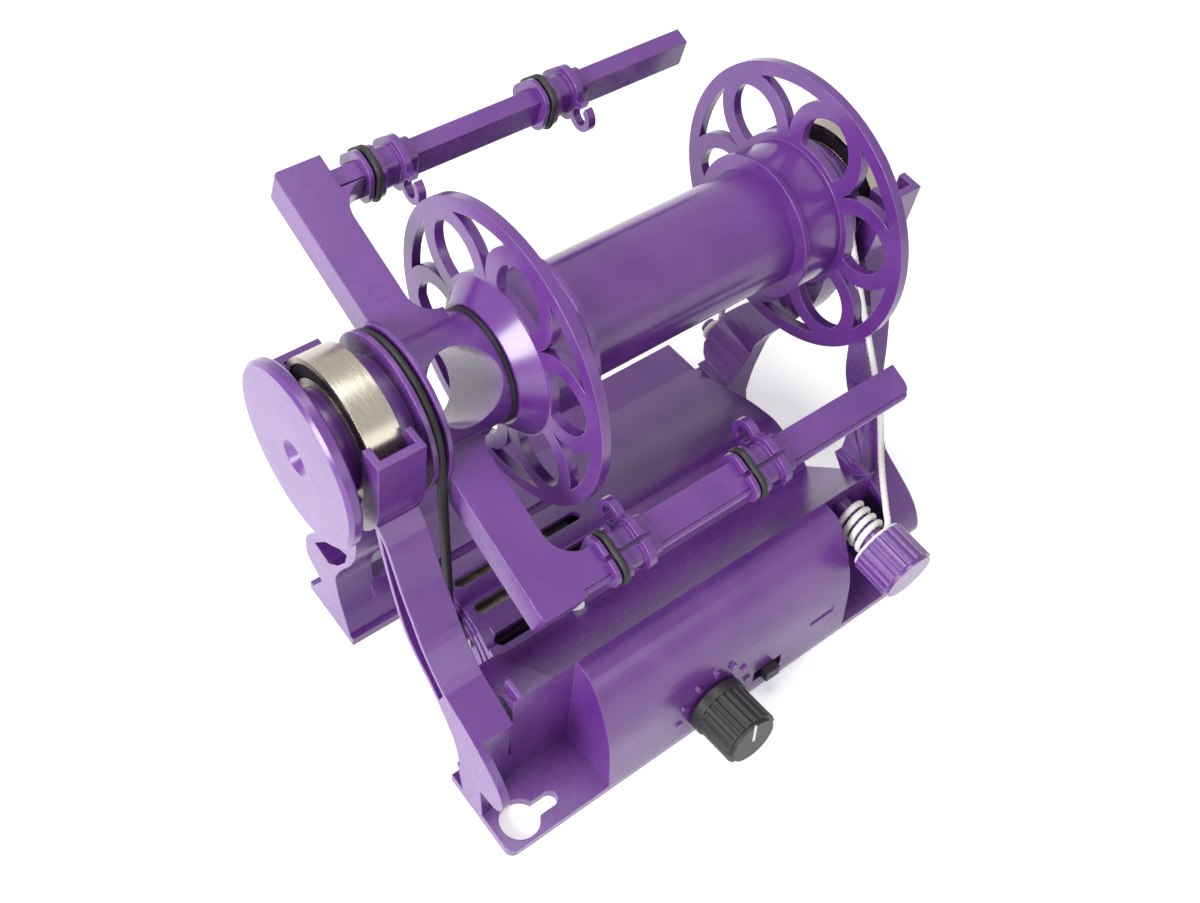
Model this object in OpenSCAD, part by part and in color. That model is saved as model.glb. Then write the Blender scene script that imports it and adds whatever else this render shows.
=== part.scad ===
// Small electric yarn spinner: a flyer and bobbin on a moulded frame with a motor, a belt and a brake.
// X runs along the spindle, -Y is the control panel side, +Z is up.
// The origin lies on the table, under the spindle, half way along the base.

/* [Base] */
// Width of the base along the spindle
base_w = 113.5; // [112.5:0.5:115]
// Reach of the base in front of the spindle
base_front = 64.3; // [64:0.25:66]
// Reach of the housing behind the spindle
base_back = 16.5; // [16:0.5:20]
// Height of the spindle above the table
spindle_h = 64.45; // [64.25:0.25:67]
// Thickness of the floor plate
floor_t = 2.5; // [2.3:0.1:2.8]
// Radius of the floor plate's corners
corner_r = 2; // [1:0.5:3]
// Diameter of the keyhole's round end
keyhole_d = 8.4; // [7:0.2:9]
// Width of the keyhole's slot
keyhole_slot_w = 3.3; // [3:0.1:4]
// Length of the keyhole from its centre to the slot's end
keyhole_len = 9; // [8:0.5:9.5]

/* [Housing] */
// Width of the belt gap beside the left upright
belt_gap = 8.3; // [8:0.1:9]
// Thickness of the housing's walls
wall = 1.6; // [1.4:0.1:1.8]
// Length of the control box along the spindle
panel_w = 66.4; // [64:0.4:67]
// Distance from the base's left face to the control box
panel_x = 24.4; // [24:0.2:25]
// Number of cooling slots
vents = 5; // [3:1:5]
// Length of a cooling slot
vent_len = 32.5; // [28:0.5:34]
// Width of a cooling slot
vent_w = 2.7; // [2.4:0.1:3]
// Distance between cooling slots
vent_pitch = 7.35; // [7.2:0.05:7.5]

/* [Uprights] */
// Thickness of an upright's foot
foot_t = 7.5; // [7:0.1:8]
// Distance that the right cradle stands out beyond the base
overhang = 18; // [17.8:0.1:19]
// Height of a cradle's front wall above the spindle
cradle_rise = 12.4; // [11:0.2:13]
// Height of a cradle's rear wall above the spindle
cradle_rear_rise = 5; // [4:0.5:7]
// Thickness of the lip outside a bearing
lip_t = 1.5; // [1.2:0.1:1.8]
// Thickness of the lip on a bearing's inner side
inner_lip_t = 1.2; // [1:0.1:1.3]
// Width of the rim around a leg's recess
rim_t = 1.1; // [0.9:0.1:1.4]
// Depth of a leg's recess
recess_depth = 4.3; // [3:0.1:4.6]

/* [Bearings] */
// Bearing outer diameter
bearing_od = 32; // [31.5:0.25:32.5]
// Bearing bore
bearing_id = 20; // [19.5:0.25:20.5]
// Bearing width
bearing_w = 7; // [6.8:0.1:7.2]
// Diameter of a bearing ball
ball_d = 3.1; // [3:0.1:3.2]
// Number of balls in a bearing
balls = 14; // [10:1:16]

/* [Flyer] */
// Radius of the flyer's outer corner
flyer_r = 47.8; // [47:0.2:48]
// Angle of the flyer's arms above the horizontal when it is at rest
flyer_turn = 17; // [17:0.5:18]
// Width of an arm along the spindle
arm_w = 9; // [8.6:0.1:9.4]
// Thickness of an arm
arm_t = 7.5; // [7:0.1:8]
// Length of the bars beyond the arms
bar_len = 87.9; // [87:0.1:88.2]
// Height of a bar's cross-section
bar_h = 7.8; // [7.4:0.1:7.9]
// Thickness of a bar
bar_t = 6.5; // [6.2:0.1:6.8]
// Radius of the hub
hub_r = 11.5; // [11.2:0.1:12]
// Diameter of the cross bore that the yarn leaves through
cross_d = 15; // [14:0.5:15]
// Diameter of the orifice that the yarn enters through
orifice_d = 3.2; // [2.6:0.2:4]
// Radius of the orifice disc
disc_r = 18.5; // [18:0.25:19]
// Thickness of the orifice disc
disc_t = 2.7; // [2.5:0.1:2.9]
// Radius of the whorl
whorl_r = 16.2; // [16:0.1:16.6]
// Diameter of the steel shaft that the bobbin turns on
shaft_d = 6; // [5.5:0.25:6.5]

/* [Bobbin] */
// Radius of the bobbin's flanges
flange_r = 32; // [31:0.25:32.2]
// Thickness of a flange
flange_t = 2.1; // [1.9:0.1:2.3]
// Width of a flange's rim
flange_rim = 3; // [2.6:0.1:3.4]
// Radius of a collar
collar_r = 15.5; // [15:0.1:16]
// Length of a collar
collar_len = 10.5; // [9:0.25:11]
// Radius of the core
core_r = 12.6; // [12.2:0.1:13]
// Radius of a petal opening's arcs
petal_r = 7.6; // [7.2:0.1:7.8]
// Width of the strand around a petal
strand_w = 3.5; // [3:0.1:3.7]
// Distance between the outer faces of the two flanges
bobbin_span = 78.1; // [78:0.1:78.3]

/* [Drive] */
// Diameter of the motor can
motor_d = 18.4; // [18:0.2:18.6]
// Distance between the motor can's flats
motor_flat = 10; // [9.6:0.2:10.2]
// Length of the motor can
motor_len = 25; // [23:0.5:26]
// Length of the motor's end cap
motor_cap_len = 6; // [5:0.5:7]
// Diameter of the motor shaft
motor_shaft_d = 2; // [1.6:0.1:2.2]
// Diameter of the round drive band
band_d = 2; // [1.8:0.1:2.6]
// Radius of the motor pulley at the band's centre
pulley_r = 4; // [3.8:0.1:4.4]

/* [Controls] */
// Radius of the speed knob
knob_r = 6.4; // [6:0.1:6.8]
// Length of the speed knob
knob_len = 11.7; // [11:0.1:12.5]
// Number of flutes around a knob
flutes = 20; // [12:1:24]
// Travel of the switch to either side
switch_travel = 2; // [1:0.25:2]
// Radius of the tension knob
tension_r = 6.6; // [6.2:0.1:7]
// Length of the tension knob
tension_len = 9.5; // [8:0.5:11]
// Diameter of the brake cord
cord_d = 1.5; // [1.3:0.1:1.5]
// Number of turns on the tension peg
turns = 4.5; // [3:0.5:4.5]

/* [Guides] */
// Length of a yarn guide along the bar
guide_len = 11.5; // [11:0.25:12]
// Diameter of a guide's rubber ring
ring_d = 1.5; // [1.3:0.1:1.6]
// Distance from the arms to the lower inner guide
guide_a_x = 7.1; // [6.9:0.1:8]
// Distance from the arms to the lower outer guide
guide_b_x = 41.6; // [40:0.2:43]
// Distance from the arms to the upper inner guide
guide_c_x = 6.9; // [6.8:0.1:8]
// Distance from the arms to the upper outer guide
guide_d_x = 48.1; // [46:0.2:50]

/* [Hidden] */
$fn = 64;

// Colours
violet = "#70459A";
deep_violet = "#5B3285";
steel = "#C9C5BE";
black = "#1B1B1D";
cord_white = "#E6E0DC";
board_green = "#1F6B45";

// Clearances and small common sizes
eps = 1;
run_fit = 0.05;
seat_fit = 0.02;
part_gap = 0.3;
smooth_steps = 4;

// Places along the spindle
left_face = -base_w / 2;
right_face = base_w / 2;
cradle_t = lip_t + bearing_w + inner_lip_t;
cradle_in = left_face + cradle_t;
housing_l = cradle_in + belt_gap;
housing_r = right_face - foot_t;
panel_l = left_face + panel_x;
panel_r = panel_l + panel_w;
left_brg = left_face + lip_t;
right_out = right_face + overhang;
right_brg = right_out - lip_t - bearing_w;
right_in = right_brg - inner_lip_t;

// Sizes that follow the bearings
brg_r = bearing_od / 2;
neck_r = bearing_id / 2;
cradle_wall = 1.6;
cradle_r = brg_r + cradle_wall;
outer_ring_t = 1.2;
inner_ring_t = 2;
seal_t = 0.6;
seal_inset = 0.3;
race_r = (neck_r + inner_ring_t + brg_r - outer_ring_t) / 2;
race_fit = 0.05;

// Outline tables: shares of base_front along Y and of spindle_h along Z
hump_shares = [[0.109, 0.133], [0.014, 0.169], [-0.079, 0.202], [-0.165, 0.239], [-0.236, 0.260],
    [-0.306, 0.273], [-0.362, 0.263], [-0.459, 0.236], [-0.502, 0.214]];
rear_wall_share = 0.121;
crest_shares = [-0.750, 0.481];
panel_shares = [[-0.750, 0.481], [-0.809, 0.477], [-0.855, 0.441], [-0.902, 0.377], [-0.953, 0.272],
    [-0.980, 0.155], [-0.995, 0.075]];
rib_foot_share = -0.782;
wing_rear_share = -0.491;
valley_share = 0.214;
leg_outer_shares = [[-0.274, 0.923], [-0.319, 0.877], [-0.365, 0.799], [-0.404, 0.729], [-0.454, 0.659],
    [-0.518, 0.569], [-0.622, 0.478], [-0.726, 0.439], [-0.829, 0.388], [-0.894, 0.337], [-0.930, 0.272],
    [-0.918, 0.220], [-0.894, 0.196]];
leg_arch_shares = [[-0.260, 0.892], [-0.311, 0.749], [-0.369, 0.614], [-0.415, 0.537], [-0.467, 0.486],
    [-0.532, 0.439], [-0.583, 0.394], [-0.635, 0.343], [-0.687, 0.272], [-0.720, 0.168]];
leg_root_shares = [-0.190, 0.935];
leg_toe_shares = [-0.824, 0.183];
leg_toe_floor_share = -0.848;
leg_heel_floor_share = -0.745;
back_front_shares = [[-0.151, 0.714], [-0.149, 0.611], [-0.121, 0.518], [-0.075, 0.430], [-0.039, 0.355],
    [-0.022, 0.289], [-0.040, 0.191], [-0.070, 0.116]];
back_rear_shares = [[-0.054, 0.729], [-0.047, 0.652], [-0.016, 0.566], [0.039, 0.481], [0.093, 0.411],
    [0.143, 0.340], [0.159, 0.276], [0.146, 0.200], [0.067, 0.157]];
back_root_shares = [-0.130, 0.820];
back_front_floor_share = -0.098;
back_rear_floor_share = 0.132;
cup_shares = [[0.100, 0.351], [0.030, 0.448], [-0.058, 0.523], [-0.098, 0.542], [-0.086, 0.484],
    [-0.040, 0.402], [0.014, 0.341]];
wing_top_share = 0.191;
lip_corner_shares = [-0.574, 0.403];

// The right upright's legs lean outwards round the flyer: shares of flyer_r and of overhang
lean_r_shares = [0.37, 0.56, 0.68, 0.84, 0.91, 1.01, 1.05, 1.13, 1.20, 1.70];
lean_in_shares = [0.471, 0.411, 0.294, 0.161, 0.111, 0.078, -0.03, -0.289, -0.417, -0.417];
lean_out_shares = [0.933, 0.778, 0.678, 0.5, 0.4, 0.30, 0.24, 0.11, 0, 0];

function yz(s) = [s[0] * base_front, s[1] * spindle_h];
function at(s) = [for (p = s) yz(p)];
function unit(v) = v / norm(v);
function mix(a, b, t) = a + (b - a) * t;
function flip(p) = [for (i = [len(p) - 1:-1:0]) p[i]];
function clampi(i, n) = max(0, min(n, i));
function spline(a, b, c, d, t) =
    (2 * b + (c - a) * t + (2 * a - 5 * b + 4 * c - d) * t * t + (3 * b - a - 3 * c + d) * t * t * t) / 2;
function smooth(p, k = smooth_steps) = let (m = len(p) - 1) concat([for (i = [0:m - 1]) each
    [for (j = [0:k - 1]) spline(p[clampi(i - 1, m)], p[i], p[i + 1], p[clampi(i + 2, m)], j / k)]], [p[m]]);
function left_of(d) = [-d[1], d[0]];
function way(p, i) = unit(p[min(i + 1, len(p) - 1)] - p[max(i - 1, 0)]);
function seg(p, i) = unit(p[i + 1] - p[i]);
function turn_way(p, i) = let (m = len(p) - 1, a = seg(p, max(i - 1, 0)), b = seg(p, min(i, m - 1)))
    let (n = unit(left_of(a) + left_of(b))) n / max(0.4, n * left_of(a));
function inset(p, d) = [for (i = [0:len(p) - 1]) p[i] + turn_way(p, i) * d];
function grow(p, d) = let (n = len(p)) [for (i = [0:n - 1])
    let (a = unit(p[i] - p[(i + n - 1) % n]), b = unit(p[(i + 1) % n] - p[i]), v = unit(-left_of(a) - left_of(b)))
    p[i] + v * d / (v * -left_of(a))];
function look(x, xs, ys, i = 0) = i >= len(xs) - 2 || x <= xs[i + 1]
    ? mix(ys[i], ys[i + 1], max(0, min(1, (x - xs[i]) / (xs[i + 1] - xs[i])))) : look(x, xs, ys, i + 1);

// Places that carry the drive
whorl_x = cradle_in + belt_gap * 0.615;
motor_y = -0.277 * base_front;
motor_z = floor_t + 0.9 + motor_flat / 2;
motor_x = housing_l + wall;
band_hi_r = whorl_r - band_d / 2 - 0.5;
groove_w = band_d + 0.3;

module along_x(x, w) {
    translate([x, 0, 0])
        rotate([90, 0, 90])
            linear_extrude(w)
                children();
}

module spun(x) {
    translate([x, 0, spindle_h])
        rotate([0, 90, 0])
            rotate_extrude($fn = 96)
                children();
}

module rod_x(x, w, r, y = 0, z = spindle_h) {
    translate([x, y, z])
        rotate([0, 90, 0])
            cylinder(h = w, r = r);
}

module strand_tube(pts, r, sides, ref) {
    n = len(pts);
    ways = [for (i = [0:n - 1]) unit(pts[min(i + 1, n - 1)] - pts[max(i - 1, 0)])];
    side = [for (w = ways) unit(cross(w, ref))];
    lift = [for (i = [0:n - 1]) cross(side[i], ways[i])];
    ring = [for (i = [0:n - 1]) for (k = [0:sides - 1])
        pts[i] + r * (cos(360 * k / sides) * lift[i] + sin(360 * k / sides) * side[i])];
    skin = [for (i = [0:n - 2]) for (k = [0:sides - 1]) each
        let (a = i * sides + k, b = i * sides + (k + 1) % sides, c = a + sides, d = b + sides)
        [[a, b, d], [a, d, c]]];
    head = [for (k = [1:sides - 2]) [0, k + 1, k]];
    tail = [for (k = [1:sides - 2]) [(n - 1) * sides, (n - 1) * sides + k, (n - 1) * sides + k + 1]];
    polyhedron(points = ring, faces = concat(skin, head, tail));
}

module strand_loop(pts, r, sides) {
    n = len(pts);
    ways = [for (i = [0:n - 1]) unit(pts[(i + 1) % n] - pts[(i + n - 1) % n])];
    ring = [for (i = [0:n - 1]) for (k = [0:sides - 1])
        pts[i] + r * (cos(360 * k / sides) * [1, 0, 0] + sin(360 * k / sides) * cross([1, 0, 0], ways[i]))];
    skin = [for (i = [0:n - 1]) for (k = [0:sides - 1]) each
        let (a = i * sides + k, b = i * sides + (k + 1) % sides, c = (a + sides) % (n * sides))
        let (d = (b + sides) % (n * sides)) [[a, d, b], [a, c, d]]];
    polyhedron(points = ring, faces = skin);
}

// Floor plate
screw_r = 1.25;
screw_head_r = 2.5;
screw_head_t = 1.3;
screw_sink = 0.3;
screw_len = 6.2;
boss_r = 3;
boss_set = boss_r - 0.6;
foot_mid_x = foot_t / 2;
front_foot_y = base_front * (leg_toe_floor_share + leg_heel_floor_share) / 2;
back_foot_y = base_front * (back_front_floor_share + back_rear_floor_share) / 2;
box_screws = [[housing_l + wall + boss_set, base_back - wall - boss_set],
    [housing_r - wall - boss_set, base_back - wall - boss_set],
    [panel_l + wall + boss_set, base_front * -0.9], [panel_r - wall - boss_set, base_front * -0.9]];
left_foot_y = -base_front * 0.734;
foot_screws = [[left_face + foot_mid_x, left_foot_y], [right_face - foot_mid_x, front_foot_y],
    [left_face + foot_mid_x, back_foot_y], [right_face - foot_mid_x, back_foot_y]];
keyhole_at = [left_face + 5.7, -base_front + 4.9];
side_back = base_front * 0.150;
board_w = 50;
board_d = 15;
board_t = 1.6;
board_z = floor_t + 2;
board_y = -base_front * 0.715;
board_x = panel_l + 8;
post_r = 2;
post_inset = 3;

// Where the plate is open between the feet of the left upright
arch_floor_shares = [-0.685, -0.115];

module plate_outline() {
    hull_free_w = base_w - 2 * corner_r;
    translate([left_face, corner_r - base_front])
        square([base_w, side_back + base_front - corner_r]);
    translate([left_face + corner_r, -base_front])
        square([hull_free_w, corner_r + eps]);
    for (s = [-1, 1])
        translate([s * (right_face - corner_r), corner_r - base_front])
            circle(r = corner_r);
    translate([housing_l, 0])
        square([housing_r - housing_l, base_back]);
}

module base_plate() {
    color(violet)
        difference() {
            union() {
                linear_extrude(floor_t)
                    plate_outline();
                for (x = [post_inset, board_w - post_inset])
                    for (y = [post_inset, board_d - post_inset])
                        translate([board_x + x, board_y + y, 0])
                            cylinder(h = board_z, r = post_r);
            }
            translate([keyhole_at[0], keyhole_at[1], -eps])
                cylinder(h = floor_t + 2 * eps, d = keyhole_d);
            translate([keyhole_at[0], keyhole_at[1] - keyhole_slot_w / 2, -eps])
                cube([keyhole_len - keyhole_slot_w / 2, keyhole_slot_w, floor_t + 2 * eps]);
            translate([keyhole_at[0] + keyhole_len - keyhole_slot_w / 2, keyhole_at[1], -eps])
                cylinder(h = floor_t + 2 * eps, d = keyhole_slot_w);
            translate([left_face - eps, arch_floor_shares[0] * base_front, -eps])
                cube([housing_l - left_face + eps, (arch_floor_shares[1] - arch_floor_shares[0]) * base_front,
                    floor_t + 2 * eps]);
            for (p = concat(box_screws, foot_screws))
                translate([p[0], p[1], 0]) {
                    translate([0, 0, -eps])
                        cylinder(h = floor_t + 2 * eps, r = screw_r + run_fit);
                    translate([0, 0, -eps])
                        cylinder(h = eps + screw_sink + screw_head_t, r = screw_head_r + run_fit);
                }
        }
}

module base_screws() {
    color(steel)
        for (p = concat(box_screws, foot_screws))
            translate([p[0], p[1], screw_sink])
                difference() {
                    union() {
                        cylinder(h = screw_head_t, r = screw_head_r);
                        cylinder(h = screw_len, r = screw_r);
                    }
                    translate([0, 0, -eps])
                        cylinder(h = eps + screw_head_t / 2, r = screw_r, $fn = 6);
                }
}

module screw_hole(p) {
    translate([p[0], p[1], floor_t - eps])
        cylinder(h = eps + screw_sink + screw_len - floor_t + part_gap, r = screw_r + run_fit);
}

// Housing
rear_top = [base_back, rear_wall_share * spindle_h];
hump_line = concat([rear_top], smooth(at(hump_shares)));
panel_line = smooth(at(panel_shares));
rib_foot = [rib_foot_share * base_front, floor_t];
rear_foot = [base_back, floor_t];
front_foot = [-base_front, floor_t];
deck_path = concat([rear_foot], hump_line, [yz(crest_shares), rib_foot]);
box_path = concat([rear_foot], hump_line, panel_line, [front_foot]);
wing_rear = [wing_rear_share * base_front, floor_t];
wing_top = [wing_rear[0], valley_share * spindle_h];
wing_path = [wing_rear, wing_top, yz(crest_shares), rib_foot];
vent_x = housing_l + 2.1;
vent_y = base_front * -0.004;
vent_depth = wall * 3;
knob_place_share = 0.4157;
switch_place_share = 0.6491;
label_place_share = 0.8855;
knob_x = mix(panel_l, panel_r, knob_place_share);
knob_tilt = 9.5;
knob_z = 8;
knob_y = -base_front * 0.984;
shaft_hole_r = 3.4;
switch_x = mix(panel_l, panel_r, switch_place_share);
switch_z = 6.2;
switch_slot = [2 * switch_travel + 4, 3.2];
label_x = mix(panel_l, panel_r, label_place_share);
label_size = [7.1, 2.5];
label_z = 12;
label_depth = 0.6;
light_x = housing_l + 21.5;
light_r = 1.45;
light_y = -base_front * 0.497;
peg_place_share = 0.4408;
peg_x = mix(panel_r, housing_r, peg_place_share);
peg_z = 24.5;
peg_r = 2.75;
peg_hole_y = -base_front * 0.76;
jack_size = [12, 9, 8.4];
jack_hole_r = 3;
jack_y = -base_front * 0.28;
jack_z = floor_t + 0.3;
motor_boss_r = 3;
grille_shares = [0.30, 0.255, 0.21];
grille_w = 1.1;
tick_r = knob_r + 2.2;
tick_w = 0.8;
tick_h = 0.3;
ticks = 7;
nub_w = 1.2;
nub_len = 4.5;
nub_h = 1.6;

module slope_inside(p, x, w, d) {
    n = len(p);
    q = inset(p, d);
    low = [for (i = [0:n - 1]) i == 0 || i == n - 1 ? [q[i][0], floor_t - eps] : q[i]];
    along_x(x, w)
        polygon(low);
}

module on_panel(x, z) {
    translate([x, -base_front * (1 - (z - floor_t) * 0.0022), z])
        rotate([90 - knob_tilt, 0, 0])
            children();
}

module vent(i) {
    y = vent_y - i * vent_pitch;
    translate([vent_x + vent_w / 2, y, floor_t + motor_flat])
        hull_slot(vent_len - vent_w, vent_w, spindle_h / 3);
}

module hull_slot(l, w, h) {
    linear_extrude(h) {
        translate([0, -w / 2])
            square([l, w]);
        circle(d = w);
        translate([l, 0])
            circle(d = w);
    }
}

module grille() {
    intersection() {
        along_x(housing_l - eps, wall + 2 * eps)
            for (s = grille_shares)
                translate([base_front * -0.28, 0])
                    difference() {
                        circle(r = s * base_front);
                        circle(r = s * base_front - grille_w);
                    }
        translate([housing_l - eps, base_front * -0.47, floor_t + 2.4])
            cube([wall + 2 * eps, base_front * 0.36, spindle_h]);
    }
}

module housing() {
    color(violet)
        difference() {
            union() {
                difference() {
                    union() {
                        along_x(housing_l, housing_r - housing_l)
                            polygon(deck_path);
                        along_x(panel_l, panel_w)
                            polygon(box_path);
                        along_x(cradle_in, belt_gap + eps)
                            polygon(wing_path);
                    }
                    slope_inside(deck_path, housing_l + wall, housing_r - housing_l - 2 * wall, wall);
                    slope_inside(box_path, panel_l + wall, panel_w - 2 * wall, wall);
                    slope_inside(wing_path, cradle_in + wall, belt_gap + wall + eps, wall);
                }
                intersection() {
                    for (p = box_screws)
                        translate([p[0], p[1], floor_t])
                            cylinder(h = spindle_h, r = boss_r);
                    union() {
                        along_x(housing_l, housing_r - housing_l)
                            polygon(deck_path);
                        along_x(panel_l, panel_w)
                            polygon(box_path);
                    }
                }
                on_panel(knob_x, knob_z)
                    for (i = [0:ticks - 1])
                        rotate([0, 0, i * 180 / (ticks - 1)])
                            translate([tick_r, -tick_w / 2, -wall / 2])
                                cube([tick_w * 2, tick_w, wall / 2 + tick_h]);
                for (x = [cradle_in + nub_w, housing_r - 2 * nub_w])
                    translate([x, crest_shares[0] * base_front, crest_shares[1] * spindle_h - nub_h * 2])
                        cube([nub_w, nub_len, nub_h * 2]);
            }
            for (p = box_screws)
                screw_hole(p);
            for (i = [0:vents - 1])
                vent(i);
            grille();
            rod_x(housing_l - eps, wall + 2 * eps, motor_boss_r + run_fit, motor_y, motor_z);
            for (s = [-1, 1])
                rod_x(housing_l - eps, wall + 2 * eps, motor_screw_r + run_fit, motor_y + s * motor_screw_y, motor_z);
            on_panel(knob_x, knob_z)
                translate([0, 0, -wall * 3])
                    cylinder(h = wall * 6, r = shaft_hole_r + run_fit);
            on_panel(switch_x, switch_z)
                translate([-switch_slot[0] / 2, -switch_slot[1] / 2, -wall * 2])
                    cube([switch_slot[0], switch_slot[1], wall * 4]);
            on_panel(label_x, label_z)
                translate([-label_size[0] / 2, -label_size[1] / 2, -label_depth])
                    cube([label_size[0], label_size[1], wall * 2]);
            translate([light_x, light_y, floor_t])
                cylinder(h = spindle_h / 2, r = light_r + run_fit);
            translate([peg_x, peg_hole_y + wall * 1.5, peg_z])
                rotate([90, 0, 0])
                    cylinder(h = wall * 4, r = peg_r + run_fit);
            rod_x(housing_r - wall - eps, wall + 2 * eps, jack_hole_r, jack_y, jack_z + jack_size[2] / 2);
        }
}

// Left upright
outer_line = smooth(at(leg_outer_shares));
arch_line = smooth(at(leg_arch_shares));
back_front_line = smooth(at(back_front_shares));
back_rear_line = smooth(at(back_rear_shares));
recess_last = 6 * smooth_steps;
leg_w = cradle_t - inner_lip_t;
toe_skin = 1.8;

module front_leg_outline() {
    polygon(concat([yz(leg_root_shares)], outer_line, [yz(leg_toe_shares)],
        [[leg_toe_floor_share * base_front, floor_t], [leg_heel_floor_share * base_front, floor_t]],
        flip(arch_line)));
}

module back_leg_outline() {
    polygon(concat([yz(back_root_shares)], back_front_line,
        [[back_front_floor_share * base_front, floor_t], [back_rear_floor_share * base_front, floor_t]],
        flip(back_rear_line)));
}

module cradle_outline() {
    difference() {
        union() {
            translate([0, spindle_h])
                circle(r = cradle_r);
            translate([-cradle_r, spindle_h])
                square([cradle_r, cradle_rise]);
            translate([0, spindle_h])
                square([cradle_r, cradle_rear_rise]);
        }
        polygon([[cradle_r + eps, spindle_h + cradle_rear_rise], [brg_r / 4, spindle_h + cradle_rear_rise],
            [-brg_r / 4, spindle_h + cradle_rise], [-brg_r / 4, spindle_h + brg_r * 2],
            [cradle_r + eps, spindle_h + brg_r * 2]]);
        translate([-cradle_r - eps, spindle_h + cradle_rise])
            square([2 * cradle_r + 2 * eps, cradle_r]);
    }
}

module open_seat(r) {
    translate([0, spindle_h])
        circle(r = r);
    translate([-r, spindle_h])
        square([2 * r, 2 * r]);
}

lip_r = 12.7;
cut_lip_shares = [1, 0.6];

module cradle(x_seat, x_lo, x_hi) {
    difference() {
        along_x(x_lo, x_hi - x_lo)
            cradle_outline();
        along_x(x_seat, bearing_w)
            open_seat(brg_r);
        along_x(x_lo - eps, x_hi - x_lo + 2 * eps)
            open_seat(lip_r);
        along_x(x_lo - eps, x_hi - x_lo + 2 * eps)
            polygon([[-brg_r * 0.63, spindle_h + cradle_rise + eps], [-brg_r * 0.63, spindle_h + brg_r * 0.4],
                [brg_r * 0.8, spindle_h + brg_r * 0.25], [brg_r * 0.8, spindle_h + cradle_rise + eps]]);
    }
}

module left_upright() {
    color(violet)
        difference() {
            union() {
                cradle(left_brg, left_face, cradle_in);
                difference() {
                    union() {
                        along_x(left_face, leg_w)
                            front_leg_outline();
                        along_x(left_face, leg_w)
                            back_leg_outline();
                    }
                    translate([left_face - eps, 0, spindle_h])
                        rotate([0, 90, 0])
                            cylinder(h = cradle_t + 2 * eps, r = cradle_r - cradle_wall / 2, $fn = 96);
                }
                along_x(left_face + leg_w - eps, housing_l - left_face - leg_w + eps)
                    polygon([[back_front_floor_share * base_front, floor_t], [back_rear_floor_share * base_front,
                        floor_t], yz([0.067, 0.157]), yz([0.02, wing_top_share]), yz([-0.040, wing_top_share]),
                        yz([-0.070, 0.116])]);
                along_x(left_face, cradle_t)
                    polygon([[leg_toe_floor_share * base_front, floor_t], [leg_heel_floor_share * base_front,
                        floor_t], yz([-0.705, 0.168]), yz([-0.824, 0.183])]);
            }
            translate([left_face + toe_skin, -base_front - eps, -eps])
                cube([cradle_t, base_front * (1 + rib_foot_share) + eps, spindle_h / 2]);
            along_x(left_face - eps, eps + recess_depth)
                polygon(concat(inset([for (i = [2:recess_last]) outer_line[i]], rim_t),
                    flip(inset([for (i = [2:recess_last]) arch_line[i]], -rim_t))));
            along_x(left_face - eps, eps + recess_depth)
                polygon(at(cup_shares));
            for (p = [foot_screws[0], foot_screws[2]])
                screw_hole(p);
        }
}

// Right upright
function lean_in(q) = right_face + overhang * look(norm(q - [0, spindle_h]) / flyer_r, lean_r_shares, lean_in_shares);
function lean_out(q) = right_face + overhang * look(norm(q - [0, spindle_h]) / flyer_r, lean_r_shares,
    lean_out_shares);
loft_steps = 3;
right_arch_shares = [[-0.272, 0.840], [-0.300, 0.775], [-0.331, 0.700], [-0.369, 0.614], [-0.415, 0.537],
    [-0.505, 0.459], [-0.583, 0.394], [-0.665, 0.310]];
right_back_shares = [[-0.054, 0.720], [-0.047, 0.640], [-0.010, 0.560], [0.050, 0.465], [0.105, 0.395],
    [0.159, 0.290], [0.146, 0.200], [0.067, 0.157]];
front_loft_a = smooth(concat([yz([-0.240, 0.960])], at([for (i = [1:8]) leg_outer_shares[i]])), loft_steps);
front_loft_b = smooth(concat([yz([-0.170, 0.930])], at([for (i = [1:8]) right_arch_shares[i - 1]])), loft_steps);
back_loft_a = smooth(concat([yz([-0.130, 0.800])], at(back_front_shares)), loft_steps);
back_loft_b = smooth(concat([yz([-0.080, 0.800])], at(right_back_shares)), loft_steps);

module lean_leg(a, b) {
    n = len(a);
    pts = [for (i = [0:n - 1]) each [[lean_in(a[i]), a[i][0], a[i][1]], [lean_out(a[i]), a[i][0], a[i][1]],
        [lean_out(b[i]), b[i][0], b[i][1]], [lean_in(b[i]), b[i][0], b[i][1]]]];
    sides = [for (i = [0:n - 2]) for (k = [0:3]) each
        let (p = 4 * i + k, q = 4 * i + (k + 1) % 4, r = p + 4, s = q + 4) [[p, q, s], [p, s, r]]];
    ends = [[0, 3, 2], [0, 2, 1], [4 * n - 4, 4 * n - 3, 4 * n - 2], [4 * n - 4, 4 * n - 2, 4 * n - 1]];
    polyhedron(points = pts, faces = concat(sides, ends));
}

module low_leg_mask(top_share) {
    translate([housing_r - eps, -base_front - eps, 0])
        cube([foot_t + 2 * eps, base_front + base_back + 2 * eps, top_share * spindle_h]);
}

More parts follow.
